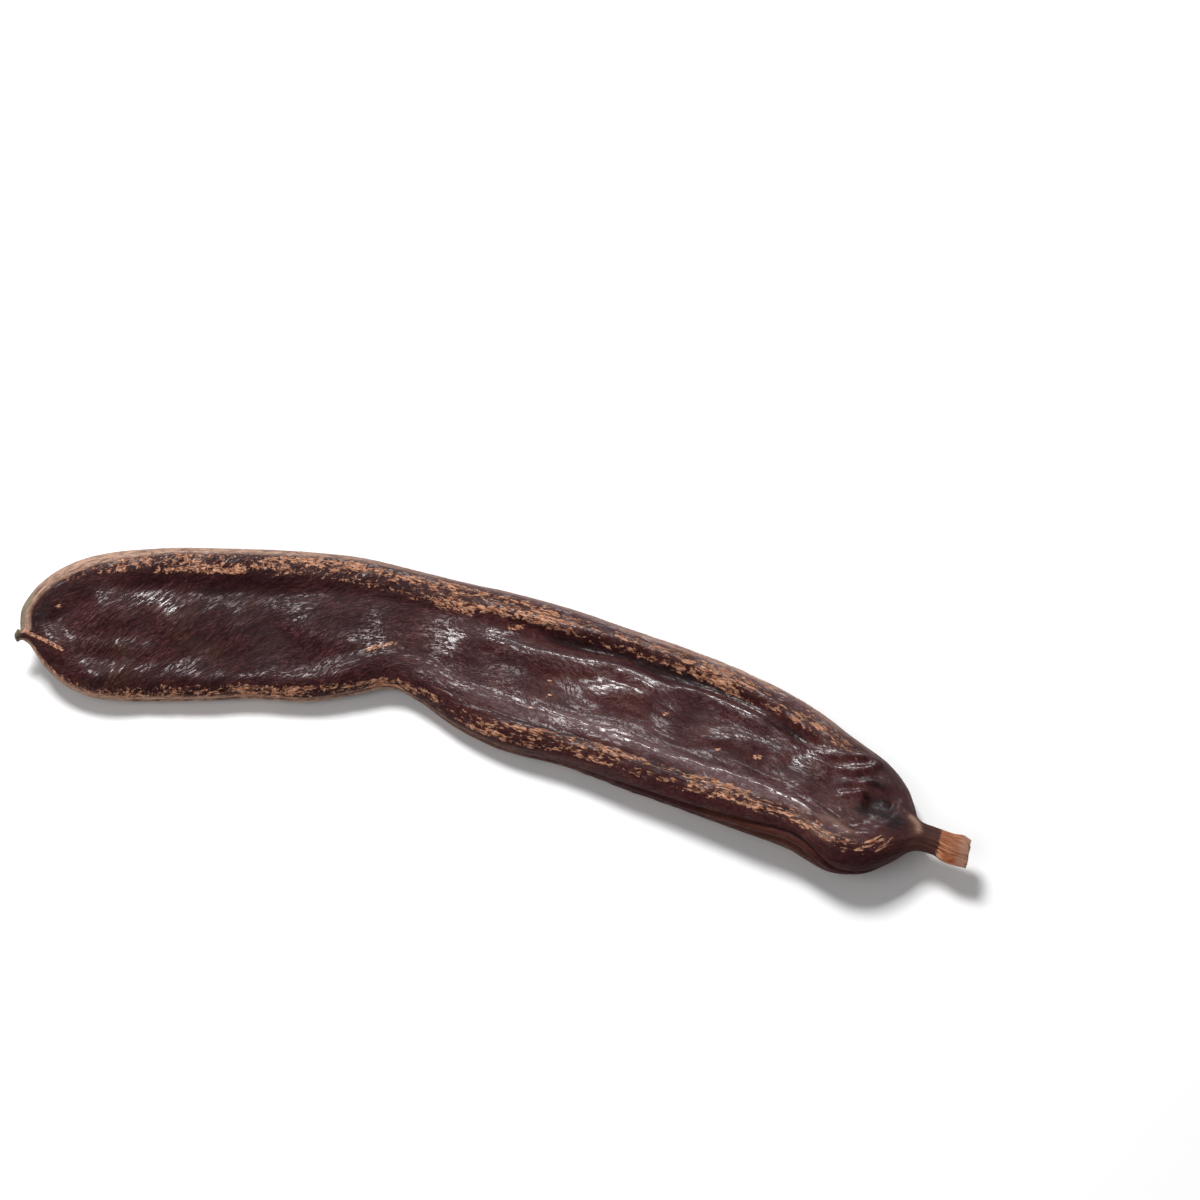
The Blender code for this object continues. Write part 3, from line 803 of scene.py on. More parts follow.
    # Stretches of the ridges that are polished most.
    polished: tuple[Stroke, ...] = (
        Stroke(1.4, 2.6, ((33.0, 9.6), (40.0, 8.6), (46.0, 7.2), (54.2, 4.4), (60.4, -0.4), (63.5, -2.0))),
        Stroke(1.2, 2.0, ((23.5, 8.8), (28.7, 7.6), (33.0, 7.4))),
        Stroke(1.0, 1.8, ((64.0, -2.4), (67.0, 0.4), (71.0, 2.0), (75.0, 1.6))),
        Stroke(0.8, 3.4, ((-8.0, 4.6), (-5.0, 5.4), (-1.0, 6.6))),
        Stroke(0.8, 2.8, ((-77.7, -0.4), (-74.1, -0.6), (-70.0, -0.8))),
        Stroke(1.0, 2.8, ((-67.7, 2.4), (-65.2, 1.2), (-61.5, 1.0))),
        Stroke(0.9, 2.6, ((-50.5, 2.5), (-47.4, 2.8), (-44.6, 5.2))),
        Stroke(0.9, 2.6, ((-25.8, 9.0), (-22.8, 8.3), (-20.3, 7.3))),
        Stroke(1.0, 2.4, ((-74.9, -13.5), (-72.3, -14.0), (-69.8, -14.7))),
        Stroke(0.8, 2.0, ((-60.2, -8.9), (-57.1, -9.3), (-55.2, -8.0))),
        Stroke(0.7, 1.5, ((-48.2, -8.6), (-42.1, -7.8))),
    )
    # Gloss: everywhere, more of it towards the style, and more on what stands out.
    gloss_floor: float = 0.30
    gloss_tip: float = 0.08
    gloss_tip_long: float = 40.0
    gloss_ridge: float = 0.75
    gloss_ridge_from: float = 0.05
    gloss_ridge_rise: float = 0.85
    # Relief at which a ridge gets a pale dusting and painted sheen and a hollow painted shade, and the
    # relief over which it does.
    ridge_from: float = 0.25
    ridge_rise: float = 0.9
    hollow_from: float = 0.15
    hollow_rise: float = 0.8
    # Where the stalk's neck, its wood and its torn end begin, and where the style ends.
    neck_from: float = 80.5
    wood_from: float = 86.3
    torn_from: float = 90.0
    wood_fade: float = 1.6
    style_to: float = -89.6
    style_fade: float = 1.2

    def band(self, grid: PodGrid, dorsal: tuple[Row, ...], ventral: tuple[Row, ...], soft: float
             ) -> Array:
        """Lay a band along both rims, on both valves.

        Args:
            grid: The pod's points.
            dorsal: The dorsal band: x, from, to, strength.
            ventral: The ventral band.
            soft: The length over which the band's edges fade.

        Returns:
            The band's strength at each point.
        """
        arc = np.abs(grid.edge_arc)
        strength = np.zeros(len(arc))
        for table, here in ((dorsal, ~grid.on_ventral), (ventral, grid.on_ventral)):
            start = column(table, 1, grid.x)
            stop = column(table, 2, grid.x)
            inside = window(arc, (start + stop) / 2, (stop - start) / 2, soft)
            strength = np.where(here, inside * np.clip(column(table, 3, grid.x), 0.0, 1.0), strength)
        return strength

    def strokes(self, grid: PodGrid, strokes: tuple[Stroke, ...]) -> Array:
        """Lay several strokes of one colour; where they overlap, the stronger one shows.

        Args:
            grid: The pod's points.
            strokes: The strokes.

        Returns:
            Their strength at each point.
        """
        return np.max([laid(grid, stroke) for stroke in strokes], axis=0)

    def run(self, grid: PodGrid, table: tuple[Row, ...]) -> Array:
        """Add a table's values up along the pod, from the style to each point.

        Args:
            grid: The pod's points.
            table: Rows of x and the value for each millimetre.

        Returns:
            The sum at each point.
        """
        along = grid.grown[:, 0]
        order = np.linspace(along.min(), along.max(), self.run_steps)
        value = column(table, 1, order + grid.x.min())
        total = np.concatenate(([0.0], np.cumsum((value[1:] + value[:-1]) / 2 * np.diff(order))))
        return np.interp(along, order, total)

    def strokes_flow(self, grid: PodGrid) -> Array:
        """Find the points along and across the skin's fine strokes.

        Args:
            grid: The pod's points.

        Returns:
            Millimetres along the strokes, across them and above the middle surface.
        """
        flow = grid.grown.copy()
        flow[:, 1] += self.run(grid, self.stroke_slope) + uneven(grid.base, self.stroke_swirl)
        return flow

    def cork_flow(self, grid: PodGrid) -> Array:
        """Find the points along and across the rims' cork.

        Args:
            grid: The pod's points.

        Returns:
            Stretched millimetres along the rim, millimetres across it, and one value for each rim.
        """
        rim = self.ventral_shift * grid.on_ventral
        return np.stack((self.run(grid, self.cork_stretch), grid.edge_arc, rim), axis=1)

    def gloss(self, grid: PodGrid, relief: Array) -> Array:
        """Find how glossy the skin is.

        Args:
            grid: The pod's points.
            relief: Their relief, in millimetres outward.

        Returns:
            The gloss at each point.
        """
        tip = self.gloss_tip * smooth_step(-grid.x / self.gloss_tip_long)
        risen = smooth_step((relief - self.gloss_ridge_from) / self.gloss_ridge_rise)
        gloss = np.clip(self.gloss_floor + tip + self.gloss_ridge * risen, 0.0, 1.0)
        return np.maximum(gloss, self.strokes(grid, self.polished))

    def rust(self, grid: PodGrid) -> Array:
        """Find the rusty stretch of the ventral edge.

        Args:
            grid: The pod's points.

        Returns:
            Its strength at each point.
        """
        share = np.clip(column(self.rust_band, 1, grid.x), 0.0, 1.0)
        return share * window(grid.edge_arc, 0.0, self.rust_wide, self.rust_soft) * grid.on_ventral

    def paint(self, grid: PodGrid, relief: Array) -> dict[str, Array]:
        """Work out every mask.

        Args:
            grid: The pod's points.
            relief: Their relief, in millimetres outward.

        Returns:
            The masks by name, one value for each point.
        """
        neck = smooth_step((grid.x - self.neck_from) / self.wood_fade)
        wood = smooth_step((grid.x - self.wood_from) / self.wood_fade)
        torn = smooth_step((grid.x - self.torn_from) / self.wood_fade)
        body = 1.0 - neck
        flecks = self.band(grid, self.dorsal_flecks, self.ventral_flecks, self.flecks_soft) * body
        halo = self.band(grid, self.dorsal_flecks, self.ventral_flecks, self.halo_soft) * body
        return {
            "flecks": np.maximum(flecks, self.halo_density * halo),
            "tan": self.band(grid, self.dorsal_tan, self.ventral_tan, self.tan_soft) * body,
            "dust_sheen_band": self.band(grid, self.dorsal_dust_sheen, self.ventral_dust_sheen, self.dust_sheen_soft) * body,
            "rust": self.rust(grid),
            "orange": self.strokes(grid, self.orange),
            "olive": self.strokes(grid, self.olive),
            "painted_shade": self.strokes(grid, self.painted_shade),
            "pale": np.maximum(self.strokes(grid, self.pale), torn),
            "ridge": smooth_step((relief - self.ridge_from) / self.ridge_rise) * body,
            "hatchy": column(self.stroke_strength, 1, grid.x),
            "gloss": self.gloss(grid, relief) * body,
            "hollow": smooth_step((-relief - self.hollow_from) / self.hollow_rise) * body,
            "neck": neck * (1.0 - wood),
            "wood": wood,
            "style": 1.0 - smooth_step((grid.x - self.style_to) / self.style_fade),
        }


class NodeBench:
    """Adds nodes to one node tree and joins them."""

    def __init__(self, tree: bpy.types.NodeTree) -> None:
        """Keep the tree to work on."""
        self.tree = tree

    def put(self, kind: str, inputs: dict[str | int, object], **settings: object) -> bpy.types.Node:
        """Add a node.

        Args:
            kind: The node's type.
            inputs: Values or sockets by the input's name or number.
            settings: The node's own settings.

        Returns:
            The node.
        """
        node = self.tree.nodes.new(kind)
        for name, value in settings.items():
            setattr(node, name, value)
        for name, value in inputs.items():
            if isinstance(value, bpy.types.NodeSocket):
                self.tree.links.new(value, node.inputs[name])
            else:
                node.inputs[name].default_value = value
        return node

    def attribute(self, name: str, output: str = "Fac") -> bpy.types.NodeSocket:
        """Read one of the mesh's own values."""
        return self.put("ShaderNodeAttribute", {}, attribute_name=name).outputs[output]

    def math(self, operation: str, first: object, second: object = 0.0, third: object = 0.0
             ) -> bpy.types.NodeSocket:
        """Work out a sum, product or other operation on values."""
        return self.put("ShaderNodeMath", {0: first, 1: second, 2: third}, operation=operation).outputs[0]

    def product(self, first: object, *others: object) -> bpy.types.NodeSocket:
        """Multiply two or more values.

        Args:
            first: The first value.
            others: The other values.

        Returns:
            The product.
        """
        for other in others:
            first = self.math("MULTIPLY", first, other)
        return first

    def most(self, first: object, *others: object) -> bpy.types.NodeSocket:
        """Take the greatest of two or more values.

        Args:
            first: The first value.
            others: The other values.

        Returns:
            The greatest value.
        """
        for other in others:
            first = self.math("MAXIMUM", first, other)
        return first

    def lack(self, value: object, share: float = 1.0) -> bpy.types.NodeSocket:
        """Take a share of what a value lacks to be 1."""
        return self.math("MULTIPLY_ADD", value, -share, share)

    def blend(self, first: object, second: object, share: float) -> bpy.types.NodeSocket:
        """Add two values up by shares: so much of the second, the rest of the first."""
        return self.math("ADD", self.product(first, 1.0 - share), self.product(second, share))

    def off_middle(self, value: object) -> bpy.types.NodeSocket:
        """Say how far a noise is from its middle, either way."""
        return self.math("ABSOLUTE", self.math("SUBTRACT", value, 0.5))

    def mix(self, share: object, first: object, second: object) -> bpy.types.NodeSocket:
        """Mix two colours.

        Args:
            share: The second colour's share.
            first: The first colour.
            second: The second colour.

        Returns:
            The mixed colour.
        """
        node = self.tree.nodes.new("ShaderNodeMix")
        node.data_type = "RGBA"
        sockets = {s.identifier: s for s in node.inputs}
        for key, value in (("Factor_Float", share), ("A_Color", first), ("B_Color", second)):
            if isinstance(value, bpy.types.NodeSocket):
                self.tree.links.new(value, sockets[key])
            else:
                sockets[key].default_value = value
        return next(s for s in node.outputs if s.identifier == "Result_Color")

    def span(self, value: object, low: float, high: float, to_low: float = 0.0, to_high: float = 1.0
             ) -> bpy.types.NodeSocket:
        """Map a value smoothly from one span to another.

        Args:
            value: The value.
            low: Where the first span begins.
            high: Where it ends.
            to_low: Where the second span begins.
            to_high: Where it ends.

        Returns:
            The mapped value, kept inside the second span.
        """
        inputs = {0: value, 1: low, 2: high, 3: to_low, 4: to_high}
        return self.put("ShaderNodeMapRange", inputs, interpolation_type="SMOOTHSTEP").outputs[0]

    def scaled(self, vector: object, scale: Row) -> bpy.types.NodeSocket:
        """Scale a place along each direction."""
        node = self.put("ShaderNodeVectorMath", {0: vector, 1: scale}, operation="MULTIPLY")
        return node.outputs[0]

    def noise(self, vector: object, grain: Grain) -> bpy.types.NodeSocket:
        """Read smooth noise between 0 and 1.

        Args:
            vector: The place to read.
            grain: The noise's look.

        Returns:
            The noise.
        """
        inputs = {"Vector": self.scaled(vector, grain.scale), "Scale": 1.0, "Detail": grain.detail,
                  "Roughness": grain.roughness, "Distortion": grain.distortion}
        return self.put("ShaderNodeTexNoise", inputs).outputs[0]

    def group(self, tree: bpy.types.NodeTree, inputs: dict[str, object]) -> bpy.types.NodeOutputs:
        """Place a node group and give back its outputs."""
        return self.put("ShaderNodeGroup", inputs, node_tree=tree).outputs


@dataclass(frozen=True)
class EffectGroup:
    """A shader node group with named inputs and outputs, built once."""

    name: str
    inputs: tuple[tuple[str, str], ...]
    outputs: tuple[tuple[str, str], ...]

    def start(self) -> tuple[bpy.types.NodeTree, NodeBench, bpy.types.Node, bpy.types.Node]:
        """Make the empty group.

        Returns:
            The group's tree, a bench to work on it, its input node and its output node.
        """
        tree = bpy.data.node_groups.new(self.name, "ShaderNodeTree")
        for sockets, way in ((self.inputs, "INPUT"), (self.outputs, "OUTPUT")):
            for name, kind in sockets:
                tree.interface.new_socket(name=name, in_out=way, socket_type=kind)
        bench = NodeBench(tree)
        return tree, bench, bench.put("NodeGroupInput", {}), bench.put("NodeGroupOutput", {})


VALUE = "NodeSocketFloat"
PLACE = "NodeSocketVector"


@dataclass(frozen=True)
class Mottle:
    """The uneven tone of a dried skin: broad clouds, fine spots and pits."""

    clouds: Grain = Grain((0.11, 0.17, 0.17), 3.0, 0.55, 0.6)
    spots: Grain = Grain((0.9, 1.3, 1.3), 5.0, 0.72)
    pits: Grain = Grain((2.6, 3.6, 3.6), 3.0, 0.65)

    def build(self) -> bpy.types.NodeTree:
        """Build the group.

        Returns:
            The group.
        """
        group = EffectGroup("skin_mottle", (("Place", PLACE),),
                            (("Broad", VALUE), ("Fine", VALUE), ("Grain", VALUE)))
        tree, bench, given, result = group.start()
        place = given.outputs["Place"]
        tree.links.new(bench.span(bench.noise(place, self.clouds), 0.34, 0.66), result.inputs["Broad"])
        tree.links.new(bench.span(bench.noise(place, self.spots), 0.30, 0.72), result.inputs["Fine"])
        tree.links.new(bench.span(bench.noise(place, self.pits), 0.36, 0.64), result.inputs["Grain"])
        return tree


@dataclass(frozen=True)
class Hatch:
    """The skin's fine strokes: a height in millimetres and the crests between them."""

    strokes: Grain = Grain((0.60, 1.60, 1.60), 2.0, 0.5, 0.7)
    finer: Grain = Grain((1.3, 3.2, 3.2), 2.0, 0.55, 0.5)
    finer_share: float = 0.5

    def build(self) -> bpy.types.NodeTree:
        """Build the group.

        Returns:
            The group.
        """
        group = EffectGroup("skin_hatch", (("Place", PLACE), ("Depth", VALUE)),
                            (("Height", VALUE), ("Crest", VALUE)))
        tree, bench, given, result = group.start()
        place = given.outputs["Place"]
        strokes = bench.noise(place, self.strokes)
        finer = bench.noise(place, self.finer)
        main = bench.span(bench.off_middle(strokes), 0.008, 0.13)
        fine = bench.span(bench.off_middle(finer), 0.0, 0.14)
        crest = bench.product(main, bench.math("MULTIPLY_ADD", fine, self.finer_share, self.finer_share))
        height = bench.product(bench.math("ADD", crest, finer), given.outputs["Depth"])
        tree.links.new(height, result.inputs["Height"])
        tree.links.new(crest, result.inputs["Crest"])
        return tree


@dataclass(frozen=True)
class Cork:
    """Cork flecks: where they lie, their tone and their height in millimetres."""

    flakes: Grain = Grain((1.35, 1.2, 1.0), 5.0, 0.72, 0.4)
    clumps: Grain = Grain((0.22, 0.34, 1.0), 2.0, 0.5)
    cracks: Grain = Grain((0.55, 2.3, 1.0), 3.0, 0.6, 0.8)
    tones: Grain = Grain((1.9, 2.2, 1.0), 3.0, 0.6)
    clump_share: float = 0.34
    # The noise's level at which cork begins: where none grows, and how far full density lowers it.
    level: float = 0.735
    level_drop: float = 0.235
    high: float = 0.12
    least_high: float = 0.03

    def build(self) -> bpy.types.NodeTree:
        """Build the group.

        Returns:
            The group.
        """
        group = EffectGroup("cork_flecks", (("Place", PLACE), ("Density", VALUE)),
                            (("Mask", VALUE), ("Tone", VALUE), ("Height", VALUE)))
        tree, bench, given, result = group.start()
        place = given.outputs["Place"]
        level = bench.blend(bench.noise(place, self.flakes), bench.noise(place, self.clumps),
                            self.clump_share)
        drop = bench.product(given.outputs["Density"], self.level_drop)
        over = bench.math("SUBTRACT", level, bench.math("SUBTRACT", self.level, drop))
        whole = bench.span(bench.off_middle(bench.noise(place, self.cracks)), 0.012, 0.035)
        mask = bench.product(bench.span(over, -0.012, 0.028), whole)
        tone = bench.noise(place, self.tones)
        height = bench.product(mask, bench.math("MULTIPLY_ADD", tone, self.high, self.least_high))
        tree.links.new(mask, result.inputs["Mask"])
        tree.links.new(bench.span(tone, 0.32, 0.68), result.inputs["Tone"])
        tree.links.new(height, result.inputs["Height"])
        return tree


@dataclass(frozen=True)
class SkinReading:
    """What the skin's colours and finish are worked out from: the mesh's masks and the effects."""

    bench: NodeBench
    masks: dict[str, bpy.types.NodeSocket]
    mottle: bpy.types.NodeOutputs
    hatch: bpy.types.NodeOutputs
    cork: bpy.types.NodeOutputs
    crest: bpy.types.NodeSocket
    grown: bpy.types.NodeSocket
    tan: bpy.types.NodeSocket
    fibres: bpy.types.NodeSocket


@dataclass(frozen=True)
class PodSkin:
    """The pod's skin: dark satin wall, cork along the rims, woody stalk."""

    name: str = "pod_skin"
    masks: tuple[str, ...] = ("flecks", "tan", "dust_sheen_band", "rust", "orange", "olive", "painted_shade", "pale", "ridge",
                              "gloss", "hollow", "hatchy", "neck", "wood", "style")
    dark: Colour = (0.0070, 0.0030, 0.0035, 1.0)
    purple: Colour = (0.0345, 0.0072, 0.0115, 1.0)
    russet: Colour = (0.1080, 0.0300, 0.0245, 1.0)
    # Pale dusting colour, also used for painted sheen.
    dust_sheen_colour: Colour = (0.1500, 0.0880, 0.0900, 1.0)
    cork_orange: Colour = (0.3100, 0.1050, 0.0480, 1.0)
    cork_tan: Colour = (0.6200, 0.3500, 0.2300, 1.0)
    rim_tan: Colour = (0.4400, 0.2750, 0.2000, 1.0)
    rust: Colour = (0.0600, 0.0170, 0.0090, 1.0)
    olive: Colour = (0.0550, 0.0350, 0.0190, 1.0)
    neck: Colour = (0.0600, 0.0250, 0.0200, 1.0)
    wood_orange: Colour = (0.3300, 0.0950, 0.0420, 1.0)
    wood_tan: Colour = (0.5600, 0.2900, 0.1700, 1.0)
    style: Colour = (0.2000, 0.1700, 0.1150, 1.0)
    spot_share: float = 0.60
    # How far each cause darkens the wall: painted shade in hollows, painted shade spots, cork lying over
    # it, painted shade in the furrows between the strokes, pits, smoothness and clouds.
    hollow_shade: float = 0.90
    painted_shade_dark: float = 0.97
    cork_dark: float = 0.50
    furrow_shade: float = 0.74
    pit_dark: float = 0.50
    smooth_dark: float = 0.85
    cloud_dark: float = 0.44
    # How much of its colour each marking lays on.
    # The ridges' pale dusting is partly painted sheen; the sheen is painted sheen on glossy crests.
    ridge_dust_sheen: float = 0.16
    sheen_share: float = 0.55
    olive_share: float = 0.35
    rust_share: float = 0.7
    pale_share: float = 0.55
    rust_in_wood: float = 0.7
    wood_ragged: float = 0.7
    streaks: Grain = Grain((0.35, 2.4, 1.0), 4.0, 0.7, 0.5)
    grit: Grain = Grain((1.3, 2.6, 2.6), 3.0, 0.6, 0.4)
    fibres: Grain = Grain((0.35, 1.3, 1.3), 4.0, 0.65, 0.4)
    # Heights in millimetres, roughness and polish.
    hatch_depth: float = 0.065
    spot_high: float = 0.03
    fibre_high: float = 0.5
    dry_smooth: float = 0.7
    rough_from: float = 0.42
    rough_to: float = 0.54
    dry_rough: float = 0.22
    polish_high: float = 0.72
    painted_shade_matt: float = 0.7
    specular: float = 0.05
    coat_roughness: float = 0.23

    def read(self, bench: NodeBench) -> SkinReading:
        """Read the mesh's masks and places, and put the effects over them.

        Args:
            bench: The material's bench.

        Returns:
            The masks and effects.
        """
        masks = {name: bench.attribute(name) for name in self.masks}
        grown = bench.attribute("grown", "Vector")
        rim = bench.attribute("cork_flow", "Vector")
        mottle = bench.group(Mottle().build(), {"Place": grown})
        depth = bench.product(masks["hatchy"], self.hatch_depth)
        hatch = bench.group(Hatch().build(), {"Place": bench.attribute("flow", "Vector"), "Depth": depth})
        cork = bench.group(Cork().build(), {"Place": rim, "Density": masks["flecks"]})
        crest = bench.lack(bench.product(bench.lack(hatch["Crest"]), masks["hatchy"]))
        worn = bench.product(bench.span(mottle["Fine"], 0.05, 0.65, 0.55, 1.2),
                             bench.span(bench.noise(rim, self.streaks), 0.34, 0.56, 0.25, 1.0))
        return SkinReading(bench, masks, mottle, hatch, cork, crest, grown,
                           bench.product(masks["tan"], worn), bench.noise(grown, self.fibres))

    def wall(self, reading: SkinReading) -> bpy.types.NodeSocket:
        """Colour the bare wall: purple and russet, with painted shade in hollows, spots and furrows, and
        darker pits.

        Args:
            reading: The masks and effects.

        Returns:
            The colour.
        """
        bench, masks, mottle = reading.bench, reading.masks, reading.mottle
        cloudy = bench.blend(mottle["Broad"], mottle["Fine"], self.spot_share)
        # Painted shade in hollows, spots and furrows, with darker tone from cork, pits, smooth skin and
        # clouds.
        deep = bench.most(bench.product(masks["hollow"], self.hollow_shade),
                          bench.product(masks["painted_shade"], self.painted_shade_dark),
                          bench.product(masks["flecks"], self.cork_dark),
                          bench.lack(reading.crest, self.furrow_shade),
                          bench.lack(mottle["Grain"], self.pit_dark),
                          bench.lack(masks["hatchy"], self.smooth_dark),
                          bench.lack(mottle["Broad"], self.cloud_dark))
        return bench.mix(deep, bench.mix(cloudy, self.purple, self.russet), self.dark)

    def dusted_and_sheened(self, reading: SkinReading, colour: bpy.types.NodeSocket) -> bpy.types.NodeSocket:
        """Lay a pale dusting with painted sheen, painted sheen on the glossy crests, olive and rust over
        the wall.

        Args:
            reading: The masks and effects.
            colour: The wall's colour.

        Returns:
            The colour.
        """
        bench, masks = reading.bench, reading.masks
        # A pale dusting on ridges and rim bands, partly painted sheen.
        dust_and_sheen = bench.most(bench.product(masks["ridge"], self.ridge_dust_sheen), masks["dust_sheen_band"])
        dust_and_sheen = bench.product(dust_and_sheen, bench.span(reading.crest, 0.0, 1.0, 0.25, 0.75))
        colour = bench.mix(dust_and_sheen, colour, self.dust_sheen_colour)
        # Painted sheen on the glossy crests of the strokes.
        sheen = bench.product(bench.span(reading.crest, 0.50, 1.0, 0.0, self.sheen_share), masks["gloss"],
                              bench.span(reading.mottle["Broad"], 0.2, 0.9, 0.35, 1.0))
        colour = bench.mix(sheen, colour, self.dust_sheen_colour)
        colour = bench.mix(bench.product(masks["olive"], self.olive_share), colour, self.olive)
        return bench.mix(bench.product(masks["rust"], self.rust_share), colour, self.rust)

    def corky(self, reading: SkinReading, colour: bpy.types.NodeSocket) -> bpy.types.NodeSocket:
        """Lay the rims' tan bands, the cork flecks and the orange specks over the wall.

        Args:
            reading: The masks and effects.
            colour: The wall's colour.

        Returns:
            The colour.
        """
        bench, masks = reading.bench, reading.masks
        cork_colour = bench.mix(reading.cork["Tone"], self.cork_orange, self.cork_tan)
        grit = bench.span(bench.noise(reading.grown, self.grit), 0.35, 0.62, 0.1, 1.5)
        orange = bench.span(bench.product(masks["orange"], grit), 0.25, 0.60)
        colour = bench.mix(reading.tan, colour, self.rim_tan)
        colour = bench.mix(reading.cork["Mask"], colour, cork_colour)
        return bench.mix(orange, colour, cork_colour)

    def ends(self, reading: SkinReading, colour: bpy.types.NodeSocket) -> bpy.types.NodeSocket:
        """Colour the stalk's neck, its wood with a ragged border, its pale end and the style.

        Args:
            reading: The masks and effects.
            colour: The body's colour.

        Returns:
            The colour.
        """
        bench, masks, fibres = reading.bench, reading.masks, reading.fibres
        wood = bench.mix(bench.span(fibres, 0.40, 0.68), self.wood_orange, self.wood_tan)
        wood = bench.mix(bench.span(fibres, 0.44, 0.32, 0.0, self.rust_in_wood), wood, self.rust)
        uneven = bench.math("MULTIPLY_ADD", reading.mottle["Fine"], self.wood_ragged, -self.wood_ragged / 2)
        ragged = bench.math("ADD", masks["wood"], uneven)
        wooden = bench.product(bench.span(ragged, 0.35, 0.65), bench.span(masks["wood"], 0.02, 0.2))
        colour = bench.mix(masks["neck"], colour, self.neck)
        colour = bench.mix(wooden, colour, wood)
        # Pale: a painted highlight on the folds before the stalk, and the collar's and torn end's own pale
        # tan.
        colour = bench.mix(bench.product(masks["pale"], self.pale_share), colour, self.rim_tan)
        return bench.mix(masks["style"], colour, self.style)

    def polish(self, reading: SkinReading, dry: bpy.types.NodeSocket) -> bpy.types.NodeSocket:
        """Find the coat over the strokes' crests, which is gone from whatever is dry.

        Args:
            reading: The masks and effects.
            dry: How dry the surface is.

        Returns:
            The coat's weight.
        """
        bench, masks = reading.bench, reading.masks
        return bench.product(masks["gloss"], bench.span(reading.mottle["Broad"], 0.0, 1.0, 0.6, 1.25),
                             bench.span(reading.crest, 0.30, 0.90, 0.0, self.polish_high),
                             bench.lack(dry),
                             bench.math("MULTIPLY_ADD", masks["painted_shade"], -self.painted_shade_matt, 1.0))

    def height(self, reading: SkinReading, dry: bpy.types.NodeSocket) -> bpy.types.NodeSocket:
        """Find the height of strokes, cork, spots and fibres, in millimetres.

        Args:
            reading: The masks and effects.
            dry: How dry the surface is.

        Returns:
            The height.
        """
        bench = reading.bench
        strokes = bench.product(reading.hatch["Height"],
                                bench.math("SUBTRACT", 1.0, bench.product(dry, self.dry_smooth)))
        spots = bench.product(reading.mottle["Fine"], self.spot_high)
        fibres = bench.product(reading.fibres, bench.product(reading.masks["wood"], self.fibre_high))
        height = bench.math("ADD", strokes, reading.cork["Height"])
        return bench.math("ADD", bench.math("ADD", height, spots), fibres)

    def build(self) -> bpy.types.Material:
        """Make the material.

        Returns:
            The material.
        """
        material = bpy.data.materials.new(self.name)
        material.use_nodes = True
        tree = material.node_tree
        bench = NodeBench(tree)
        shader = tree.nodes["Principled BSDF"]
        reading = self.read(bench)
        colour = self.ends(reading, self.corky(reading, self.dusted_and_sheened(reading, self.wall(reading))))
        dry = bench.most(reading.cork["Mask"], reading.tan, reading.masks["wood"], reading.masks["neck"])
        rough = bench.span(reading.mottle["Fine"], 0.1, 0.9, self.rough_from, self.rough_to)
        rough = bench.math("ADD", rough, bench.product(dry, self.dry_rough))
        bump = bench.put("ShaderNodeBump", {"Strength": 1.0, "Distance": MM,
                                            "Height": self.height(reading, dry)})
        tree.links.new(colour, shader.inputs["Base Color"])
        tree.links.new(rough, shader.inputs["Roughness"])
        tree.links.new(self.polish(reading, dry), shader.inputs["Coat Weight"])
        tree.links.new(bump.outputs["Normal"], shader.inputs["Normal"])
        shader.inputs["Coat Roughness"].default_value = self.coat_roughness
        shader.inputs["Specular IOR Level"].default_value = self.specular
        return material


